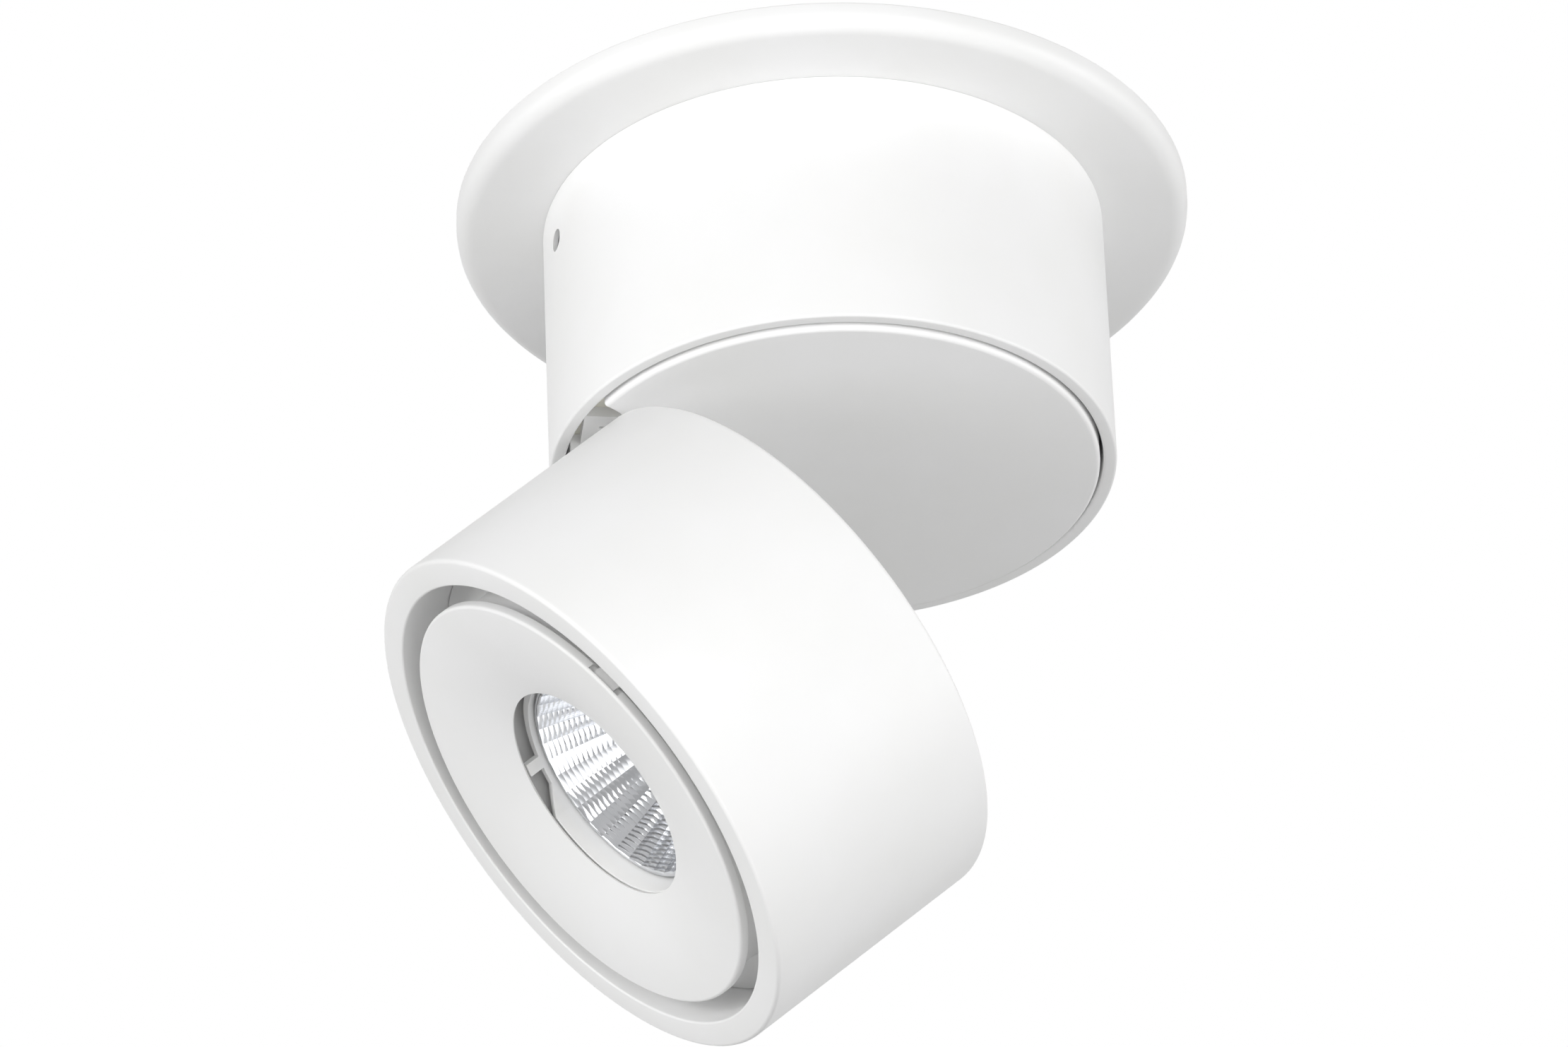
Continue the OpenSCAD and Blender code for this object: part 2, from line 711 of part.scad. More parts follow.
// Turned tube of the head, with the flat front ring and the heat sink's seat
module head_housing() color("white") tilted() difference() {
    union() {
        turned(concat(
            [[ring_r, z_front + edge_chamfer], [ring_r + edge_chamfer, z_front]],
            arc([body_r - head_edge, z_front + head_edge], head_edge, -90, 0),
            arc([body_r - head_edge, z_rear - head_edge], head_edge, 0, 90),
            [[head_in, z_rear], [head_in, z_seat], [ring_r, z_seat]]));
        spread(sink_screw_az, sink_screw_r) rod(sink_boss_r, z_seat - sink_boss_l, z_seat);
    }
    spread(sink_screw_az, sink_screw_r) rod(m3_r, z_seat - deep_in - hole_spare, z_seat + past);
    arm_slot();
}

// Cast plate with straight fins and posts for the rear cover
module heat_sink() color("whitesmoke") tilted() difference() {
    union() {
        rod(sink_r, z_seat, z_sink);
        intersection() {
            rod(fin_r, z_sink - bond, z_sink + fin_h);
            for (y = [-5 : 5]) translate([fin_start, y * fin_pitch - fin_t / 2, z_sink - bond])
                cube([2 * body_r, fin_t, fin_h]);
        }
        spread(rear_screw_az, rear_screw_r) rod(boss_r, z_sink - bond, z_cover);
    }
    spread(rear_screw_az, rear_screw_r) rod(m3_r, z_cover - deep_in - hole_spare, z_cover + past);
    spread(sink_screw_az, sink_screw_r) {
        rod(m3_r, z_seat - past, z_sink + past);
        rod(m3_head_r + clear, z_sink, z_sink + fin_h + past);
    }
    for (s = [-1, 1]) {
        rod(m3_r, z_sink - half_in - hole_spare, z_sink + past, [fork_screw_x, s * fork_screw_y]);
        rod(m3_r, z_seat - past, z_seat + half_in + hole_spare, [0, s * holder_screw_r]);
    }
    rod(lead_r + lead_room, z_seat - past, z_sink + past, sink_hole);
}

// Screws from the heat sink into the housing
module heat_sink_screws() color("silver") tilted() spread(sink_screw_az, sink_screw_r)
    translate([0, 0, z_sink]) pan_screw(sink_t + deep_in);

// Disc that closes the head's back, with vents over the fins
module rear_cover() color("white") tilted() difference() {
    rod(sink_r, z_cover, z_rear);
    for (y = [-2.5 : 2.5]) translate([vent_x, y * fin_pitch, 0])
        slot(vent_l, vent_w, z_cover - past, z_rear + past);
    spread(rear_screw_az, rear_screw_r) translate([0, 0, z_rear]) flat_hole(rear_t + past);
    arm_slot();
}

// Screws in the rear cover
module rear_cover_screws() color("silver") tilted() spread(rear_screw_az, rear_screw_r)
    translate([0, 0, z_rear]) flat_screw(rear_t + deep_in);

// Steel fork on the heat sink that holds the hinge pin
module hinge_bracket() color("silver") tilted() difference() {
    union() {
        translate([pin_x - cheek_out, -cheek_end, z_sink])
            cube([cheek_out + cheek_back + tongue_l, 2 * cheek_end, cheek_t]);
        for (s = [-1, 1])
            translate([pin_x - cheek_out, s * (cheek_y + cheek_t / 2) - cheek_t / 2, z_sink])
                cube([cheek_out + cheek_back, cheek_t, z_pin + eye_r - z_sink]);
    }
    on_pin() cylinder(r = pin_r + thread_fit, h = 2 * cheek_end + 2 * past, center = true);
    for (s = [-1, 1]) rod(m3_r, z_sink - past, z_sink + cheek_t + past, [fork_screw_x, s * fork_screw_y]);
}

// Screws through the fork's tongue
module hinge_bracket_screws() color("silver") tilted() for (s = [-1, 1])
    translate([fork_screw_x, s * fork_screw_y, z_sink + cheek_t]) pan_screw(cheek_t + half_in);

// Hollow pin with a head at one end
module hinge_pin() color("silver") tilted() on_pin() difference() {
    union() {
        translate([0, 0, -cheek_end - pin_end]) cylinder(r = pin_r, h = 2 * cheek_end + pin_end);
        translate([0, 0, cheek_end]) cylinder(r = pin_head_r, h = pin_head_t);
    }
    translate([0, 0, -cheek_end - pin_end - past]) cylinder(d = pin_bore_d, h = pin_end + cheek_end + past);
}

// Nut on the hinge pin
module hinge_nut() color("silver") tilted() on_pin() translate([0, 0, -cheek_end - pin_nut_t]) difference() {
    cylinder(r = pin_head_r, h = pin_nut_t, $fn = 6);
    translate([0, 0, -past]) cylinder(r = pin_r + thread_fit, h = pin_nut_t + 2 * past);
}

// Friction washers on both sides of the arm's eye
module hinge_washers() color("ivory") tilted() for (s = [-1, 1])
    on_pin() translate([0, 0, s * (cheek_y - washer_t / 2)]) difference() {
        cylinder(r = eye_r, h = washer_t, center = true);
        cylinder(r = pin_r + thread_fit, h = washer_t + 2 * past, center = true);
    }

// Ceramic board of the light source
module led_board() color("white") tilted() translate([-board_w / 2, -board_w / 2, z_seat - led_board_t])
    cube([board_w, board_w, led_board_t]);

// Yellow disc of the light source
module led_chip() color("gold") tilted()
    rod(chip_d / 2, z_seat - led_board_t - chip_t, z_seat - led_board_t);

// Moulded holder that clamps the board to the heat sink
module led_holder() color("white") tilted() difference() {
    rod(holder_r, z_seat - holder_t, z_seat);
    rod(holder_hole_r, z_seat - holder_t - past, z_seat + past);
    translate([0, 0, z_seat - led_board_t / 2])
        cube([board_w + 2 * slip_fit, board_w + 2 * slip_fit, led_board_t + 2 * bond], center = true);
    for (s = [-1, 1]) rod(m3_r, z_seat - holder_t - past, z_seat + past, [0, s * holder_screw_r]);
}

// Screws in the holder
module holder_screws() color("silver") tilted() for (s = [-1, 1])
    translate([0, s * holder_screw_r, z_seat - holder_t]) mirror([0, 0, 1]) pan_screw(holder_t + half_in);

// Lead from the hollow pin through the heat sink to the holder
module led_lead() color("dimgray") tilted() wire([
    [pin_x, lead_r, z_pin], [pin_x, cheek_end + deep_in, z_pin],
    [sink_hole[0] - deep_in, sink_hole[1], z_pin - half_in],
    [sink_hole[0], sink_hole[1], z_sink + half_in], [sink_hole[0], sink_hole[1], z_seat - half_in],
    [lead_end[0], lead_end[1], z_seat - half_in]], lead_r);

// Inner radius of the reflector, from its throat (0) to its mouth (1)
function bowl(t) = throat_r + (mouth_r - throat_r) * pow(t, flare);

// Depth of the reflector's wall behind the front, from its foot (0) to its mouth (1)
function bowl_depth(t) = foot_depth + (mouth_depth - foot_depth) * t;

// Rows of corners round the reflector's wall: radius, depth, and half a facet's turn on every other
// inner row
function reflector_rows() = concat(
    [for (i = [0 : facet_rows]) [bowl(i / facet_rows), bowl_depth(i / facet_rows), (i % 2) / 2]],
    [for (i = [facet_rows : -2 : 2]) [bowl(i / facet_rows) + reflector_t, bowl_depth(i / facet_rows), 0]],
    [[reflector_foot_r, foot_depth - reflector_foot_t, 0], [reflector_foot_r, foot_depth, 0]]);

// Metallised bowl with flat facets, and a foot on the holder
module reflector() color("lightgray") tilted() {
    n = facet_columns;
    rows = reflector_rows();
    polyhedron(
        [for (row = rows) for (j = [0 : n - 1]) let (a = 360 * (j + row[2]) / n)
            [row[0] * cos(a), row[0] * sin(a), z_front + row[1]]],
        [for (i = [0 : len(rows) - 1]) for (j = [0 : n - 1])
            let (k = (i + 1) % len(rows), s = rows[i][2] > rows[k][2] ? 1 : 0,
                 near = i * n + j, next = i * n + (j + 1) % n,
                 far = k * n + (j + s) % n, beyond = k * n + (j + s + 1) % n)
            each [[next, near, far], [next, far, beyond]]]);
}

// A wedge of space between two directions, used to cut windows
module wedge(a0, a1, r, z0, z1) translate([0, 0, z0]) linear_extrude(z1 - z0)
    polygon(concat([[0, 0]], [for (i = [0 : 4]) let (a = a0 + (a1 - a0) * i / 4) r * [cos(a), sin(a)]]));

// White ring that centres the reflector in the baffle, with windows on both sides of two ribs
module reflector_collar() color("white") tilted() difference() {
    z_top = z_front + dish_depth + hole_lip + seam;
    z_ring = z_front + mouth_depth - collar_ring;
    slant_y = hole_r * sin(slant_far - slant_near);
    ring(hole_r + collar_wall, hole_r, z_top, z_front + mouth_depth + collar_skirt);
    for (turn = [0, 180]) rotate(turn) {
        wedge(rib_az + rib_half, window_end, 2 * hole_r, z_top - past, z_ring);
        wedge(slant_near, rib_az - rib_half, 2 * hole_r, z_top - past, z_ring);
        rotate(slant_near) translate([hole_r - past, 0, 0]) rotate([90, 0, 90])
            linear_extrude(collar_wall + 3 * past)
                polygon([[bond, z_ring], [bond, z_top - past], [slant_y, z_top - past], [slant_y, z_top]]);
    }
}

// Depth of the baffle's face behind its outer edge
function dish(r) = dish_depth * pow((baffle_r - r) / (baffle_r - hole_r), dish_power);

// Dished ring round the light's opening. A skirt and a floor behind it close the groove round it,
// and a sleeve closes the space behind the collar's windows. Notches behind its edge and slits in
// the floor let the clips' tongues through.
module front_baffle() color("white") tilted() difference() {
    span = baffle_r - edge_chamfer - hole_r;
    back = pad_r - hole_r - lip_taper;
    floor_r = ring_r - run_gap;
    union() {
        turned(concat(
            [for (i = [0 : dish_steps]) let (r = hole_r + span * i / dish_steps) [r, z_front + dish(r)]],
            [[baffle_r, z_front + edge_chamfer], [baffle_r, z_front + pad_depth],
             [skirt_out, z_front + pad_depth], [skirt_out, z_groove], [floor_r, z_groove], [floor_r, z_skirt],
             [skirt_r, z_skirt], [skirt_r, z_front + pad_depth], [pad_r, z_front + pad_depth]],
            [for (i = [1 : dish_steps]) let (r = pad_r - back * i / dish_steps)
                [r, z_front + max(pad_depth, dish(r) + baffle_t)]],
            [[hole_r, z_front + dish(hole_r) + hole_lip]]));
        ring(sleeve_r + sleeve_t, sleeve_r, z_front + dish(sleeve_r) + baffle_t / 2, z_front + sleeve_l);
    }
    for (a = clip_az) rotate(a) {
        translate([tongue_x - notch_gap, -notch_w / 2, z_front + notch_lip])
            cube([baffle_r - tongue_x + past, notch_w, pad_depth - notch_lip + past]);
        translate([tongue_x - notch_gap, -tongue_w / 2 - notch_gap, z_groove - past])
            cube([clip_t + 2 * notch_gap, tongue_w + 2 * notch_gap, floor_t + 2 * past]);
    }
}

// White coated leaf springs that hold the baffle in the front ring, each with a tongue to pull it
// out by
module baffle_clips() color("white") tilted() {
    reach = sqrt(pow(ring_r - run_gap, 2) - pow(clip_w / 2, 2));
    for (a = clip_az) rotate(a) {
        translate([skirt_r, -clip_w / 2, z_skirt]) cube([reach - skirt_r, clip_w, clip_t]);
        translate([reach - clip_t, -clip_w / 2, z_skirt]) cube([clip_t, clip_w, clip_leg]);
        translate([tongue_x, -tongue_w / 2, z_front + notch_lip + notch_gap])
            cube([clip_t, tongue_w, z_skirt + clip_t - z_front - notch_lip - notch_gap]);
    }
}

ceiling_bracket();
cable_grommet();
earth_screw();
ceiling_flange();
drum_housing();
set_screws();
stop_pin();
driver_case();
driver_lid();
driver_board();
driver_screws();
terminal_block();
terminal_screws();
mains_leads();
output_lead();
rotor_base();
rotor_cover();
rotor_screws();
hollow_shaft();
shaft_screws();
thrust_washer();
wave_washer();
lock_nut();
hinge_arm();
hinge_arm_screws();
rotor_lead();
head_housing();
heat_sink();
heat_sink_screws();
rear_cover();
rear_cover_screws();
hinge_bracket();
hinge_bracket_screws();
hinge_pin();
hinge_nut();
hinge_washers();
led_board();
led_chip();
led_holder();
holder_screws();
led_lead();
reflector();
reflector_collar();
front_baffle();
baffle_clips();
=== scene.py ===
import math
import bmesh
import bpy
from mathutils import Matrix, Vector


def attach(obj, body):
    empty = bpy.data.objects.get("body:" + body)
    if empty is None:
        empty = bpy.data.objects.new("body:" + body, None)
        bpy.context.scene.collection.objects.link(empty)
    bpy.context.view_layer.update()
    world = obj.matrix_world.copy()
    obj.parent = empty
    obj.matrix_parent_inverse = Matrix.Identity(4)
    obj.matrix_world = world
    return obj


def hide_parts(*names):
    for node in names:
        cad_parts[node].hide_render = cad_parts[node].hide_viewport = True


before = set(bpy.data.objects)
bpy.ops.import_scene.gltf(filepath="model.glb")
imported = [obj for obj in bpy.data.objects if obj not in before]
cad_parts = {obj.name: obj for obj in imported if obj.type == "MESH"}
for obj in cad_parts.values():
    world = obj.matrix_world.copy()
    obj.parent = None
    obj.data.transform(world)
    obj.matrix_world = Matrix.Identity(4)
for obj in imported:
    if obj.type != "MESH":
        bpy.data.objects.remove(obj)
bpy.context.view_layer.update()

# The view: the light hangs from the ceiling and is seen from below and from the front, a little
# from the left, as the photograph shows it.
mm = 0.001
photo_width = 2220
focal_pixels = 14066
sensor_width = 36.0
aim = Vector((-9.0, 1.2, -65.3)) * mm
distance = 1743.7 * mm
heading, rise, roll = math.radians(-7.59), math.radians(32.12), math.radians(2.40)

camera = bpy.data.objects.new("camera", bpy.data.cameras.new("camera"))
bpy.context.scene.collection.objects.link(camera)
camera.data.sensor_width = sensor_width
camera.data.lens = focal_pixels / photo_width * sensor_width
turn = (Matrix.Rotation(heading, 4, "Z") @ Matrix.Rotation(math.pi / 2 + rise, 4, "X")
        @ Matrix.Rotation(-roll, 4, "Z"))
camera.matrix_world = Matrix.Translation(aim) @ turn @ Matrix.Translation((0, 0, distance))
bpy.context.scene.camera = camera
bpy.context.scene.view_settings.view_transform = "Standard"


# The room: a pale floor two metres below the ceiling, which throws soft light up on the undersides,
# and three soft boxes. The floor also has a painted glow, seen only by the camera and in gloss, which
# is brightest in a patch below the light and shows in the object as painted reflection. The world
# shows white behind the object. In the object's gloss its front half is greyer than its back half, as
# in a room with a white back wall.
def linear(code):
    """The linear colour of an sRGB hex code."""
    shares = [int(code[i:i + 2], 16) / 255 for i in (1, 3, 5)]
    return [s / 12.92 if s <= 0.04045 else ((s + 0.055) / 1.055) ** 2.4 for s in shares] + [1.0]


def add(tree, kind, inputs=(), **properties):
    """Adds a node, sets its properties, and sets its inputs to values or links them to outputs."""
    node = tree.nodes.new("ShaderNode" + kind)
    for name, value in properties.items():
        setattr(node, name, value)
    for name, value in dict(inputs).items():
        if isinstance(value, bpy.types.NodeSocket):
            tree.links.new(value, node.inputs[name])
        else:
            node.inputs[name].default_value = value
    return node


world_white = "#FFFFFF"
world_glow = 0.30
front_sheen, back_sheen = 0.60, 0.92
sheen_start, sheen_end = -0.3, 0.1
floor_paint = "#F0F0F0"
floor_level, floor_radius, floor_sides = -2000 * mm, 7000 * mm, 64
# Reach and strength of the floor's painted glow, which only the camera and gloss see.
glow_patch_reach = 1050 * mm
patch_glow, floor_glow = 1.3, 0.2

world = bpy.data.worlds.new("studio")
bpy.context.scene.world = world
world.use_nodes = True
tree = world.node_tree
tree.nodes.clear()
rays = add(tree, "LightPath").outputs
seen = add(tree, "Math", {0: rays["Is Camera Ray"], 1: rays["Is Transmission Ray"]},
           operation="MAXIMUM")
glow = add(tree, "Background", {"Color": linear(world_white), "Strength": world_glow})
way = add(tree, "SeparateXYZ", {0: add(tree, "TexCoord").outputs["Generated"]}).outputs["Y"]
sheen = add(tree, "MapRange", {0: way, 1: sheen_start, 2: sheen_end, 3: front_sheen, 4: back_sheen})
sheen = add(tree, "Background", {"Color": linear(world_white), "Strength": sheen.outputs[0]})
white = add(tree, "Background", {"Color": linear(world_white), "Strength": 1.0})
room = add(tree, "MixShader", {0: rays["Is Glossy Ray"], 1: glow.outputs[0], 2: sheen.outputs[0]})
mix = add(tree, "MixShader", {0: seen.outputs[0], 1: room.outputs[0], 2: white.outputs[0]})
add(tree, "OutputWorld", {"Surface": mix.outputs[0]})

disc = bmesh.new()
bmesh.ops.create_circle(disc, cap_ends=True, segments=floor_sides, radius=floor_radius)
floor = bpy.data.objects.new("floor", bpy.data.meshes.new("floor"))
disc.to_mesh(floor.data)
disc.free()
floor.location = (0, 0, floor_level)
bpy.context.scene.collection.objects.link(floor)
paint = bpy.data.materials.new("pale_floor_paint_and_painted_glow")
paint.use_nodes = True
tree = paint.node_tree
tree.nodes.clear()
# Painted glow: for the camera and for gloss the floor shines on top of its paint, strongly within a
# patch under the light and weakly beyond, so that the object mirrors a bright floor; diffuse light does
# not see it.
rays = add(tree, "LightPath").outputs
seen = add(tree, "Math", {0: rays["Is Camera Ray"], 1: rays["Is Glossy Ray"]}, operation="MAXIMUM")
matt = add(tree, "BsdfDiffuse", {"Color": linear(floor_paint)})
place = add(tree, "TexCoord").outputs["Object"]
away = add(tree, "VectorMath", {0: place}, operation="LENGTH").outputs["Value"]
glow = add(tree, "MapRange", {0: away, 1: glow_patch_reach, 2: 2 * glow_patch_reach, 3: patch_glow, 4: floor_glow})
painted_floor_glow = add(tree, "Emission", {"Color": linear(world_white), "Strength": glow.outputs[0]})
both = add(tree, "AddShader", {0: matt.outputs[0], 1: painted_floor_glow.outputs[0]})
mix = add(tree, "MixShader", {0: seen.outputs[0], 1: matt.outputs[0], 2: both.outputs[0]})
add(tree, "OutputMaterial", {"Surface": mix.outputs[0]})
floor.data.materials.append(paint)


def soft_box(name, place, side, watts):
    """A square soft box in the room, turned towards the light fitting."""
    lamp = bpy.data.lights.new(name, "AREA")
    lamp.size = side
    lamp.energy = watts
    box = bpy.data.objects.new(name, lamp)
    box.location = place
    box.rotation_euler = (aim - Vector(place)).to_track_quat("-Z", "Y").to_euler()
    bpy.context.scene.collection.objects.link(box)


soft_box("front_box", (0.4, -2.2, -0.6), 1.6, 26)
soft_box("left_box", (-2.0, -0.9, -0.4), 1.4, 30)
soft_box("right_box", (2.0, -0.8, -0.4), 1.2, 15.5)


# Ceiling bracket: a disc of 2 mm sheet steel, pressed with two legs and punched with slots, then
# zinc plated. It is screwed to the ceiling first and carries all the rest.
noise_span = (0.3, 0.7)  # nearly all values of a noise texture lie in it


def new_material(name):
    """An empty material, its node tree, its surface shader and its object coordinates in metres."""
    material = bpy.data.materials.new(name)
    material.use_nodes = True
    tree = material.node_tree
    surface = tree.nodes["Principled BSDF"]
    return material, tree, surface, add(tree, "TexCoord").outputs["Object"]


def dress(tree, surface, tones, pattern, span=noise_span, rough=None, relief=None, depth=0.0):
    """Gives a surface its detail: two colours, which change over as a pattern goes through a span of
    values, a roughness that goes from lowest to highest with a noise, and a relief of some depth."""
    share = add(tree, "MapRange", {0: pattern, 1: span[0], 2: span[1], 3: 0.0, 4: 1.0}).outputs[0]
    mixed = add(tree, "Mix", {0: share, 6: linear(tones[0]), 7: linear(tones[1])}, data_type="RGBA")
    tree.links.new(mixed.outputs[2], surface.inputs["Base Color"])
    if rough:
        noise, lowest, highest = rough
        start, end = noise_span
        matt = add(tree, "MapRange", {0: noise, 1: start, 2: end, 3: lowest, 4: highest})
        tree.links.new(matt.outputs[0], surface.inputs["Roughness"])
    if relief:
        raised = add(tree, "Bump", {"Height": relief, "Distance": depth, "Strength": 1.0})
        tree.links.new(raised.outputs[0], surface.inputs["Normal"])


def zinc_plate():
    """Bright zinc on rolled steel sheet: a bluish grey metal with cloudy patches a few millimetres
    across and fine rolling lines along one direction."""
    material, tree, surface, place = new_material("zinc_plated_steel")
    patch, line, line_stretch = 4 * mm, 0.25 * mm, (0.04, 1.0, 1.0)
    clouds = add(tree, "TexNoise", {"Vector": place, "Scale": 1 / patch, "Detail": 3.0}).outputs[0]
    along = add(tree, "Mapping", {"Vector": place, "Scale": line_stretch}).outputs[0]
    lines = add(tree, "TexNoise", {"Vector": along, "Scale": 1 / line, "Detail": 2.0}).outputs[0]
    dress(tree, surface, ("#C4C7CA", "#A4A8AD"), clouds, rough=(clouds, 0.26, 0.40),
          relief=lines, depth=0.01 * mm)
    surface.inputs["Metallic"].default_value = 1.0
    return material


def finish(material, *nodes):
    """Gives CAD nodes their material."""
    for node in nodes:
        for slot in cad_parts[node].material_slots:
            slot.material = material


zinc = zinc_plate()
finish(zinc, "ceiling_bracket", "driver_screws")


# Cable grommet: a bush of black rubber, moulded with a groove, pressed into the cable hole so that
# the sheet's edge can't cut the supply cable.
def moulded_rubber():
    """Black nitrile rubber: almost matt, with a fine grain from the mould."""
    material, tree, surface, place = new_material("moulded_rubber")
    grain_size = 0.3 * mm
    grain = add(tree, "TexNoise", {"Vector": place, "Scale": 1 / grain_size, "Detail": 4.0}).outputs[0]
    dress(tree, surface, ("#1B1B1C", "#2A2A2B"), grain, relief=grain, depth=0.02 * mm)
    surface.inputs["Roughness"].default_value = 0.75
    return material


finish(moulded_rubber(), "cable_grommet")


# Driver: a box and a lid moulded in white flame-proof plastic, with an ear at each end that a screw
# hangs on the bracket. Inside is a circuit board of glass fibre with its parts soldered on.
def moulded_plastic(name, light, dark, gloss):
    """Injection-moulded plastic: an even colour, and the fine pebbled skin of an eroded mould,
    drawn 0.4 mm coarse so that it shows."""
    material, tree, surface, place = new_material(name)
    pebble_size, cloud_size = 0.4 * mm, 12 * mm
    glossy, matt = gloss - 0.05, gloss + 0.05
    pebble = add(tree, "TexNoise", {"Vector": place, "Scale": 1 / pebble_size, "Detail": 3.0}).outputs[0]
    cloud = add(tree, "TexNoise", {"Vector": place, "Scale": 1 / cloud_size, "Detail": 2.0}).outputs[0]
    dress(tree, surface, (light, dark), cloud, rough=(pebble, glossy, matt),
          relief=pebble, depth=0.012 * mm)
    surface.inputs["IOR"].default_value = 1.53
    return material


def solder_mask():
    """Green solder mask on glass fibre: glossy, with paler copper tracks 1.5 mm wide under it."""
    material, tree, surface, place = new_material("green_solder_mask")
    track_pitch, track_share = 6 * mm, 0.12
    white, black = (1, 1, 1, 1), (0, 0, 0, 1)
    tracks = add(tree, "TexBrick", {"Vector": place, "Scale": 1 / track_pitch, "Color1": white,
                                    "Color2": white, "Mortar": black, "Mortar Size": track_share})
    dress(tree, surface, ("#1E6B42", "#12482C"), tracks.outputs[0], span=(0.0, 1.0),
          relief=tracks.outputs[1], depth=0.03 * mm)
    surface.inputs["Roughness"].default_value = 0.25
    return material


finish(moulded_plastic("moulded_abs", "#DDDDD9", "#D6D6D1", 0.5), "driver_case", "driver_lid")
finish(solder_mask(), "driver_board")


# Terminal block: moulded in ivory nylon, with three brass screws that clamp the supply wires. Two
# pegs snap it into the bracket. The earth wire goes to a brass screw in the bracket.
def bare_brass():
    """Turned brass: a warm yellow metal, a little darker where it has tarnished in patches of 2 mm."""
    material, tree, surface, place = new_material("turned_brass")
    patch = 2 * mm
    patches = add(tree, "TexNoise", {"Vector": place, "Scale": 1 / patch, "Detail": 3.0}).outputs[0]
    dress(tree, surface, ("#D9BC72", "#B8924A"), patches, relief=patches, depth=0.02 * mm)
    surface.inputs["Metallic"].default_value = 1.0
    surface.inputs["Roughness"].default_value = 0.32
    return material


nylon = moulded_plastic("moulded_nylon", "#E6E0CC", "#DED7C0", 0.42)
brass = bare_brass()
finish(nylon, "terminal_block")
finish(brass, "terminal_screws", "earth_screw")


# Leads inside the drum: stranded copper in round PVC insulation, brown, blue and striped green and
# yellow from the terminal block, and a black one from the driver down the hollow shaft.
def rounded(corners, steps=6):
    """A line whose corners are rounded: each corner is its coordinates and its fillet, in mm."""
    line = []
    for i, corner in enumerate(corners):
        here, fillet = Vector(corner[:-1]), corner[-1]
        if fillet == 0:
            line.append(here)
            continue
        before = (Vector(corners[i - 1][:-1]) - here).normalized()
        after = (Vector(corners[(i + 1) % len(corners)][:-1]) - here).normalized()
        half = before.angle(after) / 2
        middle = here + (before + after).normalized() * fillet / math.sin(half)
        start = here + before * fillet / math.tan(half) - middle
        end = here + after * fillet / math.tan(half) - middle
        line += [middle + start.slerp(end, step / steps) * fillet for step in range(steps + 1)]
    return line


def settle(piece):
    """Makes what a piece looks like after its modifiers its own mesh."""
    graph = bpy.context.evaluated_depsgraph_get()
    mesh = bpy.data.meshes.new_from_object(piece.evaluated_get(graph))
    settled = bpy.data.objects.new(piece.name, mesh)
    bpy.data.objects.remove(piece)
    bpy.context.scene.collection.objects.link(settled)
    return settled


def wire(name, route, radius=1.2):
    """A round insulated wire along a route in mm."""
    curve = bpy.data.curves.new(name, "CURVE")
    curve.dimensions, curve.use_fill_caps = "3D", True
    curve.bevel_depth, curve.bevel_resolution = radius * mm, 4
    spline = curve.splines.new("POLY")
    spline.points.add(len(route) - 1)
    for point, place in zip(spline.points, route):
        point.co = (*(place * mm), 1)
    guide = bpy.data.objects.new(name, curve)
    bpy.context.scene.collection.objects.link(guide)
    return settle(guide)


def smooth(piece, angle=35):
    """Shades a mesh smooth, but for edges sharper than an angle."""
    piece.data.shade_smooth()
    piece.data.set_sharp_from_angle(angle=math.radians(angle))
    return piece


def fit(piece, material, body, slot, *nodes):
    """Gives a finished piece its material and puts it in place of CAD nodes on their body."""
    piece.data.materials.clear()
    piece.data.materials.append(material)
    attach(piece, body)
    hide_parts(*nodes)


def insulation(name, main, stripe):
    """Soft PVC drawn over copper strands: smooth and slightly glossy, with a second colour that
    winds along it where the wire is striped."""
    material, tree, surface, place = new_material(name)
    winding, ripple_size = 2.4 * mm, 0.9 * mm
    bands = add(tree, "TexWave", {"Vector": place, "Scale": wave_period / winding, "Distortion": 0.6},
                bands_direction="DIAGONAL").outputs[1]
    ripple = add(tree, "TexNoise", {"Vector": place, "Scale": 1 / ripple_size, "Detail": 1.0}).outputs[0]
    dress(tree, surface, (main, stripe), bands, span=(0.45, 0.55), relief=ripple, depth=0.02 * mm)
    surface.inputs["Roughness"].default_value = 0.38
    return material


wave_period = 0.3  # metres, about, from band to band of a wave texture whose scale is 1
wire_bend = 2.5
terminal_y, bend_y, driver_y = -27, -14, 14.5
terminal_level, driver_level, earth_level = -9.0, -12.0, -5.0
leads = [
    ("live_lead", insulation("brown_pvc", "#5A3320", "#532E1C"),
     [(-9, terminal_y, terminal_level, 0), (-9, bend_y, terminal_level, wire_bend),
      (-12, 2, driver_level, 1), (-12, driver_y, driver_level, 0)]),
    ("neutral_lead", insulation("blue_pvc", "#2F6FA8", "#2A6699"),
     [(0, terminal_y, terminal_level, 0), (0, bend_y, terminal_level, wire_bend),
      (-8, 2, driver_level, 1), (-8, driver_y, driver_level, 0)]),
    ("earth_lead", insulation("green_and_yellow_pvc", "#2F7D3A", "#D9C62E"),
     [(9, terminal_y, terminal_level, 0), (9, bend_y, terminal_level, 1),
      (16.5, bend_y, terminal_level, wire_bend), (22, bend_y, earth_level, 0)])]
for name, material, route in leads:
    fit(smooth(wire(name, rounded(route))), material, "fixed_drum", "brown_insulation", "mains_leads")
black_pvc = insulation("black_pvc", "#1C1C1E", "#242426")
driver_lead = [(10, driver_y, driver_level, 0), (10, 2, driver_level, wire_bend), (1.2, 0, -20, 2),
               (0, 0, -26, 4), (0, 0, -40, 0)]
fit(smooth(wire("driver_lead", rounded(driver_lead))), black_pvc,
    "fixed_drum", "black_insulation", "output_lead")


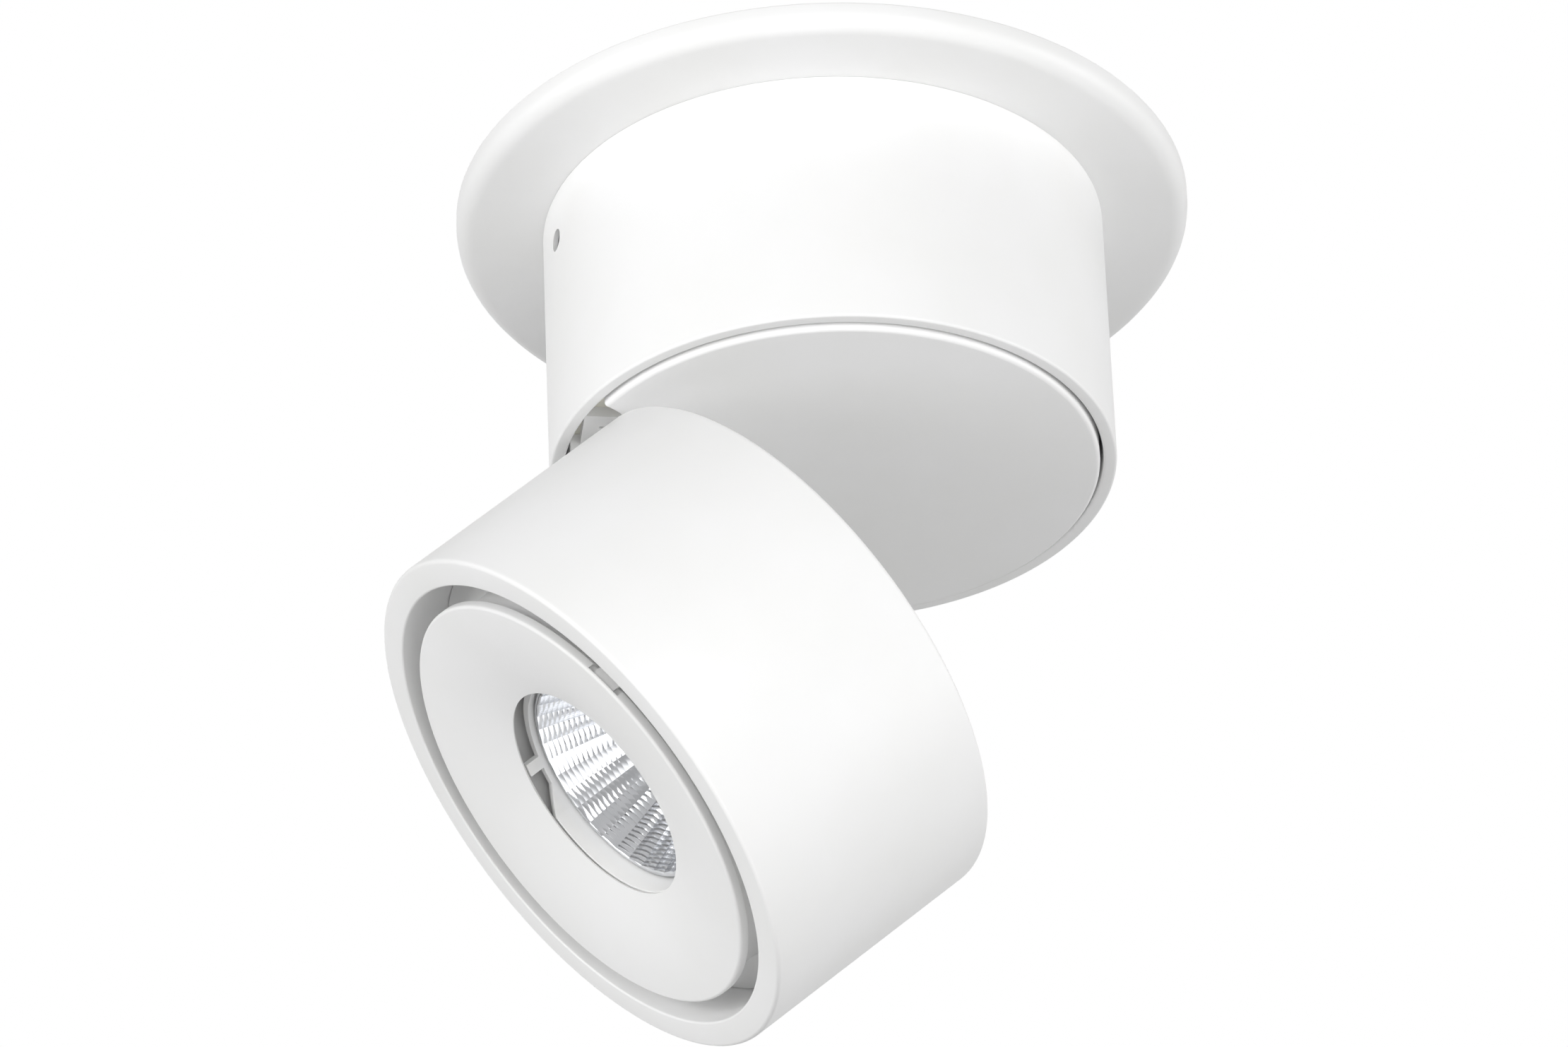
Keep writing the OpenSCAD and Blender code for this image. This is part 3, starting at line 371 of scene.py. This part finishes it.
# Ceiling flange: a shallow dish pressed from aluminium, powder coated white. It lies on the ceiling
# with its rim, hides the bracket, and is clamped between the ceiling and the drum.
def piece_from(name, skin):
    """Makes an object of a bmesh, with its faces turned outwards."""
    bmesh.ops.recalc_face_normals(skin, faces=skin.faces)
    piece = bpy.data.objects.new(name, bpy.data.meshes.new(name))
    skin.to_mesh(piece.data)
    skin.free()
    bpy.context.scene.collection.objects.link(piece)
    return piece


def turned(name, outline, sides=256):
    """Turns a closed outline of (radius, height) in mm about Z, as on a lathe."""
    skin = bmesh.new()
    rings = []
    for radius, height in outline:
        angles = [math.tau * i / sides for i in range(sides if radius > 0 else 1)]
        rings.append([skin.verts.new(Vector((radius * math.cos(a), radius * math.sin(a), height)) * mm)
                      for a in angles])
    for ring, after in zip(rings, rings[1:] + rings[:1]):
        for i in range(sides if len(ring) + len(after) > 2 else 0):
            k = (i + 1) % sides
            corners = (ring[i % len(ring)], ring[k % len(ring)],
                       after[k % len(after)], after[i % len(after)])
            skin.faces.new(dict.fromkeys(corners))
    return piece_from(name, skin)


def powder_coat():
    """White polyester powder baked on aluminium: a warm white with a soft gloss, and an orange peel
    of gentle swells about 1 mm across."""
    material, tree, surface, place = new_material("white_powder_coat")
    swell_size, tone_size = 1.0 * mm, 25 * mm
    peel = add(tree, "TexNoise", {"Vector": place, "Scale": 1 / swell_size, "Detail": 2.0,
                                  "Roughness": 0.4}).outputs[0]
    tone = add(tree, "TexNoise", {"Vector": place, "Scale": 1 / tone_size, "Detail": 2.0}).outputs[0]
    dress(tree, surface, ("#F4F4F4", "#F1F1F0"), tone, rough=(peel, 0.40, 0.50),
          relief=peel, depth=0.012 * mm)
    return material


coat = powder_coat()
flange_edge, flange_hole, flange_depth, flange_wall = 65.4, 47.4, 5.0, 1.6
flange = turned("flange_dish", rounded([
    (flange_hole, -flange_depth, 0.2), (flange_edge, -flange_depth, 3.0), (flange_edge, 0.0, 0.4),
    (flange_edge - flange_wall, 0.0, 0.3), (flange_edge - flange_wall, flange_wall - flange_depth, 1.4),
    (flange_hole, flange_wall - flange_depth, 0.2)]))
fit(smooth(flange), coat, "fixed_drum", "white_coat", "ceiling_flange")


# Drum housing: turned and milled from an aluminium casting, powder coated. Its web carries the
# turning disc, and two threaded holes in its wall take the set screws that grip the bracket's legs.
def post(name, radius, low, high, at=(0, 0), sides=64):
    """A plain cylinder along Z, in mm, as a tool for cutting and joining."""
    tool = turned(name, [(0, low), (radius, low), (radius, high), (0, high)], sides)
    tool.data.transform(Matrix.Translation(Vector((*at, 0)) * mm))
    return tool


def block(name, low, high):
    """A box between two corners, in mm, as a tool for cutting and joining."""
    skin = bmesh.new()
    bmesh.ops.create_cube(skin, size=1)
    for vert in skin.verts:
        vert.co = [(low[i] if vert.co[i] < 0 else high[i]) * mm for i in range(3)]
    return piece_from(name, skin)


def carve(piece, tools, operation="DIFFERENCE"):
    """Cuts tools out of a piece, or joins them to it, and throws the tools away."""
    for tool in tools:
        step = piece.modifiers.new("step", "BOOLEAN")
        step.object, step.operation, step.solver = tool, operation, "EXACT"
    piece = settle(piece)
    for tool in tools:
        bpy.data.objects.remove(tool)
    return piece


def turn_about(piece, degrees, axis="Z"):
    """Turns a piece's mesh about an axis through the origin."""
    piece.data.transform(Matrix.Rotation(math.radians(degrees), 4, axis))
    return piece


def radial(tool, azimuth, height):
    """Lays a tool that stands on the Z axis down, so that it points outwards in a direction."""
    turn_about(turn_about(tool, 90, "Y"), azimuth)
    tool.data.transform(Matrix.Translation((0, 0, height * mm)))
    return tool


over = 1.0  # mm that a cutting tool reaches past what it cuts
drum_radius, drum_bore, drum_top, drum_bottom = 50.0, 47.6, -5.0, -55.0
web_top, web_bottom = -42.0, -45.0
bearing_radius, bearing_bore, bearing_top, bearing_bottom = 13.0, 8.05, -40.0, -46.0
rib_count, rib_low, rib_high = 6, (12.5, -1, -42.2), (48.2, 1, -39)
set_screw_ways, set_screw_height = (191.5, 11.5), -14.5
set_screw_hole, hole_start, hole_end = 2.05, 40, 60
dowel_at, dowel_hole = (0, 28), 1.5
drum = turned("drum_shell", rounded([
    (drum_radius, drum_top, 0.2), (drum_radius, drum_bottom, 0.5), (drum_bore, drum_bottom, 0.5),
    (drum_bore, web_bottom, 0.6), (bearing_radius, web_bottom, 0.4), (bearing_radius, bearing_bottom, 0),
    (bearing_bore, bearing_bottom, 0), (bearing_bore, bearing_top, 0),
    (bearing_radius, bearing_top, 0.4), (bearing_radius, web_top, 0.5),
    (drum_bore, web_top, 0.8), (drum_bore, drum_top, 0.2)]))
ribs = [turn_about(block("rib", rib_low, rib_high), 360 / rib_count * i) for i in range(rib_count)]
drum = carve(drum, ribs, "UNION")
holes = [radial(post("hole", set_screw_hole, hole_start, hole_end), way, set_screw_height)
         for way in set_screw_ways]
holes.append(post("dowel_hole", dowel_hole, web_bottom - 5, web_top + 7, dowel_at))
drum = carve(drum, holes)
fit(smooth(drum), coat, "fixed_drum", "white_coat", "drum_housing")


# Set screws: two M4 grub screws with a hexagon socket, turned from steel and blackened. They lie
# just below the drum's surface, so their dark ends show as small holes.
def black_oxide():
    """Blackened steel: a dark grey metal, slightly oily, brighter where the key has rubbed it."""
    material, tree, surface, place = new_material("black_oxide_steel")
    rub_size = 0.8 * mm
    rubbed = add(tree, "TexNoise", {"Vector": place, "Scale": 1 / rub_size, "Detail": 3.0}).outputs[0]
    dress(tree, surface, ("#3A3A3C", "#77787B"), rubbed, relief=rubbed, depth=0.02 * mm)
    surface.inputs["Metallic"].default_value = 1.0
    surface.inputs["Roughness"].default_value = 0.42
    return material


def thread(radius, low, high, pitch, depth=0.6):
    """The outer edge of a screw thread in section, as a saw line of (radius, height) in mm."""
    turns = round((high - low) / pitch)
    return [(radius - (depth * pitch if k % 2 else 0), low + (high - low) * k / (2 * turns))
            for k in range(2 * turns + 1)]


black = black_oxide()
grub_start, grub_end, thread_start, thread_end = 44.6, 49.2, 45.0, 48.8
tip_radius, thread_radius, end_radius, thread_pitch = 1.3, 1.95, 1.55, 0.7
socket_radius, socket_floor = 1.1, 47.4
for i, way in enumerate(set_screw_ways):
    outline = [(0, grub_start), (tip_radius, grub_start)]
    outline += thread(thread_radius, thread_start, thread_end, thread_pitch)
    grub = turned(f"set_screw_{i + 1}", outline + [(end_radius, grub_end), (0, grub_end)], 48)
    grub = carve(grub, [post("socket", socket_radius, socket_floor, grub_end + over, sides=6)])
    fit(smooth(radial(grub, way, set_screw_height), 25), black, "fixed_drum", "dark_steel", "set_screws")
finish(zinc, "stop_pin")


# Turning disc: a base plate cast in aluminium and primed, which runs on the drum's web, and a cover
# below it, powder coated, with a bite cut out beside the hinge so that the head can swing up.
def cast_primer():
    """A pale primer on die-cast aluminium: matt and slightly yellow, over the pebbly skin of the
    casting, about 0.8 mm across, with soft cloudy patches."""
    material, tree, surface, place = new_material("primed_cast_aluminium")
    pebble_size, cloud_size = 0.8 * mm, 9 * mm
    pebble = add(tree, "TexNoise", {"Vector": place, "Scale": 1 / pebble_size, "Detail": 3.0}).outputs[0]
    cloud = add(tree, "TexNoise", {"Vector": place, "Scale": 1 / cloud_size, "Detail": 2.0}).outputs[0]
    dress(tree, surface, ("#F1EFE4", "#ECEADD"), cloud, rough=(pebble, 0.55, 0.70),
          relief=pebble, depth=0.03 * mm)
    return material


def around(radius, degrees):
    """The place on a circle round the axis in a direction, in mm."""
    return radius * math.cos(math.radians(degrees)), radius * math.sin(math.radians(degrees))


primer = cast_primer()
face, cover_top, cover_plate = -55.9, -51, 2
cover_radius, cover_bore = 47.0, 45
bite_middle, bite_radius, bite_low = (-57.0, 0), 25.0, face - 2
bite_wall, bite_wall_reach, bite_wall_low = 1.5, 46, -60
boss_radius, boss_bore, boss_floor = 3.5, 1.5, 1.6
disc_screws = [around(36, way) for way in (0, 75, -75)]
lead_level, lead_hole, lead_hole_start, lead_hole_end = -52.45, 1.7, 28, 36
cover = turned("disc_cover", rounded([
    (0, face, 0), (cover_radius, face, 0.85), (cover_radius, cover_top, 0.1),
    (cover_bore, cover_top, 0.1), (cover_bore, face + cover_plate, 0.5), (0, face + cover_plate, 0)]))
wall = carve(post("bite_wall", bite_radius + bite_wall, face + 1, cover_top, bite_middle, 256),
             [post("rim", bite_wall_reach, bite_wall_low, cover_top + over, sides=256)], "INTERSECT")
bosses = [post("boss", boss_radius, face + 1, cover_top, at) for at in disc_screws]
cover = carve(cover, [wall] + bosses, "UNION")
bite = turned("bite", rounded([
    (0, bite_low, 0), (bite_radius + 3, bite_low, 0), (bite_radius + 3, face - 0.01, 0),
    (bite_radius, face - 0.01, 0.5), (bite_radius, cover_top + over, 0), (0, cover_top + over, 0)]))
bite.data.transform(Matrix.Translation(Vector((*bite_middle, 0)) * mm))
holes = [post("hole", boss_bore, face + boss_floor, cover_top + over, at) for at in disc_screws]
holes.append(radial(post("lead_hole", lead_hole, lead_hole_start, lead_hole_end), 180, lead_level))
cover = carve(cover, [bite] + holes)
fit(smooth(cover), coat, "turning_disc", "white_coat", "rotor_cover")
finish(primer, "rotor_base")
finish(zinc, "rotor_screws")


# Hollow shaft: turned from aluminium bar, screwed under the base plate. It runs in the drum's web
# on a nylon washer, and a nut and a wave spring hold it with a light drag.
def turned_aluminium():
    """Aluminium from the lathe: a bright grey metal with fine turning lines round its axis, drawn
    0.3 mm apart so that they show."""
    material, tree, surface, place = new_material("turned_aluminium")
    line, cloud_size = 0.3 * mm, 5 * mm
    lines = add(tree, "TexWave", {"Vector": place, "Scale": wave_period / line, "Distortion": 1.5},
                bands_direction="Z").outputs[1]
    cloud = add(tree, "TexNoise", {"Vector": place, "Scale": 1 / cloud_size, "Detail": 2.0}).outputs[0]
    dress(tree, surface, ("#D2D3D5", "#C0C2C5"), cloud, relief=lines, depth=0.01 * mm)
    surface.inputs["Metallic"].default_value = 1.0
    surface.inputs["Roughness"].default_value = 0.3
    return material


finish(turned_aluminium(), "hollow_shaft", "lock_nut")
finish(nylon, "thrust_washer")
finish(zinc, "wave_washer", "shaft_screws")


# Hinge arm: cast in zinc and coated white, with a foot that two screws hold under the base plate and
# an eye round the hinge pin. The lead runs through a channel in it, on its way to the head.
finish(coat, "hinge_arm", "hinge_arm_screws")
hinge_x, hinge_level = -42.6, -64.3
disc_lead = [(0, 0, -40.4, 0), (0, 0, lead_level + 3, 2), (-3, 0, lead_level, 2),
             (-42.2, 0, lead_level, 0.3), (hinge_x, 0, lead_level - 1, 0.3), (hinge_x, 0, -61.4, 0)]
fit(smooth(wire("disc_lead", rounded(disc_lead))), black_pvc,
    "turning_disc", "black_insulation", "rotor_lead")


# Head housing: a tube turned from an aluminium casting, powder coated, with a flat ring round its
# front and a slot in its rear edge for the hinge arm. Three bosses inside take the heat sink.
hinge = Vector((hinge_x, 0, hinge_level)) * mm
rest_tilt = math.radians(48.8)
swing = Matrix.Translation(hinge) @ Matrix.Rotation(rest_tilt, 4, "Y") @ Matrix.Translation(-hinge)


def hang(piece):
    """Swings a piece of the folded head about the hinge pin to its rest position."""
    piece.data.transform(swing)
    return piece


front, rear, seat = -107.3, -57.3, -79.1
head_radius, head_bore, seat_bore = 50.0, 47.5, 44.8
seat_boss, seat_boss_depth, seat_hole, seat_hole_depth = 4, 10, 1.5, 6.4
sink_screws = [around(42, way) for way in (75, 195, -48)]
arm_slot_low, arm_slot_high = (-52, -7, -69), (-37.9, 7, -56)
head = turned("head_shell", rounded([
    (seat_bore, front, 0.4), (head_radius, front, 0.8), (head_radius, rear, 0.8),
    (head_bore, rear, 0.3), (head_bore, seat, 0.3), (seat_bore, seat, 0.3)]))
bosses = [post("boss", seat_boss, seat - seat_boss_depth, seat, at, 32) for at in sink_screws]
head = carve(head, bosses, "UNION")
holes = [post("hole", seat_hole, seat - seat_hole_depth, seat + over, at, 32) for at in sink_screws]
head = carve(head, [block("arm_slot", arm_slot_low, arm_slot_high)] + holes)
fit(smooth(hang(head)), coat, "lamp_head", "white_coat", "head_housing")


# Heat sink: die-cast and primed aluminium, with straight fins behind a plate that three screws press
# on the housing's bosses. It carries the light source, the hinge fork and the rear cover.
finish(primer, "heat_sink")
finish(zinc, "heat_sink_screws")


# Hinge fork: bent from 2 mm steel and plated. Its cheeks hold the hollow hinge pin, which is locked
# by a nut, and nylon washers beside the arm's eye give the friction that holds the head.
finish(zinc, "hinge_bracket", "hinge_bracket_screws", "hinge_pin", "hinge_nut")
finish(nylon, "hinge_washers")


# Light source: a yellow disc of phosphor in silicone on a white ceramic board, which a moulded
# holder clamps to the heat sink. Its lead comes through the heat sink from the hollow pin.
def alumina():
    """White alumina ceramic: chalky and even, with a fine speckle of its grains."""
    material, tree, surface, place = new_material("white_alumina")
    grain_size = 0.5 * mm
    grains = add(tree, "TexVoronoi", {"Vector": place, "Scale": 1 / grain_size}).outputs[0]
    dress(tree, surface, ("#EFEFEC", "#E2E2DE"), grains, span=(0.0, 1.0))
    surface.inputs["Roughness"].default_value = 0.6
    return material


def phosphor():
    """Phosphor powder in clear silicone: a deep yellow, smooth and glossy, with the light sources
    under it in a grid of 1.2 mm as slightly brighter squares."""
    material, tree, surface, place = new_material("phosphor_in_silicone")
    grid, ripple_size = 1.2 * mm, 2 * mm
    dies = add(tree, "TexChecker", {"Vector": place, "Scale": 1 / grid}).outputs[1]
    ripple = add(tree, "TexNoise", {"Vector": place, "Scale": 1 / ripple_size}).outputs[0]
    dress(tree, surface, ("#F0C419", "#E6B70F"), dies, span=(0.0, 1.0), relief=ripple, depth=0.05 * mm)
    surface.inputs["Roughness"].default_value = 0.2
    surface.inputs["Coat Weight"].default_value = 0.5
    return material


white_pbt = moulded_plastic("moulded_pbt", "#FBFBFA", "#F8F8F7", 0.38)
finish(alumina(), "led_board")
finish(phosphor(), "led_chip")
finish(white_pbt, "led_holder")
finish(zinc, "holder_screws")
lead_drop_x, lead_drop_y, lead_end_level = -26, 12, -82.1
head_lead = [(hinge_x, 1.2, hinge_level, 0), (hinge_x, 12.5, hinge_level, 2),
             (-32, lead_drop_y, -67.3, 1.5), (lead_drop_x, lead_drop_y, -71.1, 1),
             (lead_drop_x, lead_drop_y, lead_end_level, 2), (-19.5, 8, lead_end_level, 0)]
fit(smooth(hang(wire("head_lead", rounded(head_lead)))), black_pvc,
    "lamp_head", "black_insulation", "led_lead")


# Reflector: a bowl moulded in polycarbonate and metallised in vacuum. Its wall has 36 columns of
# small pillows, which mix the light, and its foot stands on the holder.
def metallised():
    """Aluminium vapour on a polished moulding: almost a mirror, with a faint haze in patches."""
    material, tree, surface, place = new_material("metallised_polycarbonate")
    patch = 3 * mm
    haze = add(tree, "TexNoise", {"Vector": place, "Scale": 1 / patch, "Detail": 2.0}).outputs[0]
    dress(tree, surface, ("#E4E5E8", "#D8DADD"), haze, rough=(haze, 0.08, 0.16))
    surface.inputs["Metallic"].default_value = 1.0
    return material


columns, rows, cuts = 36, 20, 6
steps_round, steps_deep = columns * cuts, rows * cuts
throat, mouth, bowl_power = 7.6, 19.25, 0.62
foot_level, mouth_level = front + 25.6, front + 8.2
column_swell, row_swell = 0.17, 0.025
bowl_wall, foot_radius, foot_height = 1.2, 11.0, 1.2


def bowl_line(way):
    """Radius and height of the reflector's wall, from its throat at 0 to its mouth at 1."""
    return throat + (mouth - throat) * way ** bowl_power, foot_level + (mouth_level - foot_level) * way


def swell(step):
    """How far a pillow stands out at a step: 0 at its edges and 1 in its middle."""
    return 1 - ((step % cuts) / cuts * 2 - 1) ** 2


def rim_point(skin, radius, height, step):
    """Adds a point at one of the steps round the reflector."""
    angle = math.tau * step / steps_round
    return skin.verts.new(Vector((radius * math.cos(angle), radius * math.sin(angle), height)) * mm)


skin = bmesh.new()
rings = []
for i in range(steps_deep + 1):
    radius, height = bowl_line(i / steps_deep)
    grown = min(1, i / cuts)
    inwards = [grown * (column_swell * swell(k) + row_swell * swell(i)) for k in range(steps_round)]
    rings.append([rim_point(skin, radius - inwards[k], height, k) for k in range(steps_round)])
back = [(mouth + 0.3, mouth_level - 0.05), (mouth + 1.1, mouth_level + 0.3)]
back += [(bowl_line(way)[0] + bowl_wall, bowl_line(way)[1]) for way in (0.9, 0.75, 0.6, 0.45, 0.3)]
back += [(foot_radius, foot_level - foot_height), (foot_radius, foot_level)]
for radius, height in back:
    rings.append([rim_point(skin, radius, height, k) for k in range(steps_round)])
for i, ring in enumerate(rings):
    after = rings[(i + 1) % len(rings)]
    for k in range(steps_round):
        m = (k + 1) % steps_round
        skin.faces.new((ring[k], ring[m], after[m], after[k]))
for i in range(steps_deep):
    for k in range(steps_round):
        if i % cuts == 0:
            skin.edges.get((rings[i][k], rings[i][(k + 1) % steps_round])).smooth = False
        if k % cuts == 0:
            skin.edges.get((rings[i][k], rings[i + 1][k])).smooth = False
bowl = piece_from("reflector_bowl", skin)
bowl.data.shade_smooth()
fit(hang(bowl), metallised(), "lamp_head", "metallised", "reflector")


# Reflector collar: a white moulded ring on the reflector's mouth, with legs that reach to the
# baffle's back. Between the legs are windows, through which the reflector's outside shows.
def prism(name, near, far):
    """A solid between two outlines that have the same number of points, in mm."""
    skin = bmesh.new()
    near, far = ([skin.verts.new(Vector(point) * mm) for point in outline] for outline in (near, far))
    skin.faces.new(near)
    skin.faces.new(far)
    for i in range(len(near)):
        k = (i + 1) % len(near)
        skin.faces.new((near[i], near[k], far[k], far[i]))
    return piece_from(name, skin)


def sector(name, first, last, reach, low, high, steps=24):
    """A wedge of space between two directions, in mm and degrees, as a tool for cutting."""
    edge = [(0, 0)] + [around(reach, first + (last - first) * i / steps) for i in range(steps + 1)]
    return prism(name, [(*point, low) for point in edge], [(*point, high) for point in edge])


collar_inner, collar_outer = 20.6, 21.8
collar_top, collar_ring, collar_low = front + 4.5, front + 7.35, front + 9.7
window_ways, window_reach = ((142.8, 205), (127, 136.2)), 40
slope_start, slope_end, slope_near, slope_far = 127, 112, 18, 24
slope_drop = collar_inner * math.sin(math.radians(slope_end - slope_start))
slope = [(0.01, collar_ring), (0.01, collar_top - over), (slope_drop, collar_top - over),
         (slope_drop, collar_top)]
collar = turned("collar_ring", rounded([
    (collar_inner, collar_top, 0.1), (collar_outer, collar_top, 0.1),
    (collar_outer, collar_low, 0.3), (collar_inner, collar_low, 0.3)]))
windows = []
for half_turn in (0, 180):
    for first, last in window_ways:
        windows.append(sector("window", first + half_turn, last + half_turn, window_reach,
                              collar_top - over, collar_ring))
    near, far = ([(reach, *point) for point in slope] for reach in (slope_near, slope_far))
    windows.append(turn_about(prism("slant", near, far), slope_start + half_turn))
collar = carve(collar, windows)
fit(smooth(hang(collar)), white_pbt, "lamp_head", "white_plastic", "reflector_collar")


# Front baffle: a ring die-cast in aluminium, dished towards the hole and powder coated. Its skirt
# and floor make the groove round it. Two leaf springs behind the floor hold it, and their tongues
# show in notches behind its edge.
baffle_edge, edge_depth, hole, hole_chamfer = 40.7, 2, 20.6, 0.1
dish_depth, dish_wall, dish_steps, back_steps = 3.8, 1.4, 40, 20
skirt, skirt_wall, floor_edge, pad_edge, pad_width = 37.3, 1.4, 44.7, 32.7, 9.7
groove_floor, skirt_end = front + 10.5, front + 11.7
sleeve_inner, sleeve_outer, sleeve_start, sleeve_end = 24.6, 26, front + 3, front + 10
clip_ways = (-90, 90)
notch_low, notch_high = (39.9, -3.6, front + 0.6), (42, 3.6, front + 3)
slit_low, slit_high = (39.9, -2.5, groove_floor - 0.1), (40.6, 2.5, skirt_end + 0.1)


def dish(radius):
    """Depth of the baffle's face behind its outer edge, in mm."""
    return dish_depth * ((baffle_edge - radius) / (baffle_edge - hole)) ** 2


dish_width = baffle_edge - 0.7 - hole
face_radii = [hole + dish_width * i / dish_steps for i in range(dish_steps + 1)]
back_radii = [pad_edge - pad_width * i / back_steps for i in range(1, back_steps + 1)]
face_line = [(radius, front + dish(radius)) for radius in face_radii]
edge_line = rounded([
    (baffle_edge - 1.5, front, 0), (baffle_edge, front, 0.6), (baffle_edge, front + edge_depth, 0.3),
    (skirt + skirt_wall, front + edge_depth, 0.3), (skirt + skirt_wall, groove_floor, 0.4),
    (floor_edge, groove_floor, 0.1), (floor_edge, skirt_end, 0.1), (skirt, skirt_end, 0.1),
    (skirt, front + edge_depth, 0.3), (pad_edge, front + edge_depth, 0)])[1:]
back_line = [(radius, front + max(edge_depth, dish(radius) + dish_wall)) for radius in back_radii]
hole_line = [(hole + hole_chamfer, front + dish_depth + 0.35), (hole, front + dish_depth + 0.2)]
outline = [Vector(point) for point in face_line + edge_line + back_line + hole_line]
baffle = turned("baffle_dish", outline)
sleeve = turned("sleeve", [(sleeve_inner, sleeve_start), (sleeve_outer, sleeve_start),
                           (sleeve_outer, sleeve_end), (sleeve_inner, sleeve_end)])
baffle = carve(baffle, [sleeve], "UNION")
for way in clip_ways:
    baffle = carve(baffle, [turn_about(block("notch", notch_low, notch_high), way),
                            turn_about(block("slit", slit_low, slit_high), way)])
fit(smooth(hang(baffle)), coat, "lamp_head", "white_coat", "front_baffle")
finish(coat, "baffle_clips")


# Rear cover: a disc of coated aluminium that closes the head, with vents over the fins. Three
# countersunk screws hold it on the heat sink's posts.
finish(coat, "rear_cover")
finish(zinc, "rear_cover_screws")
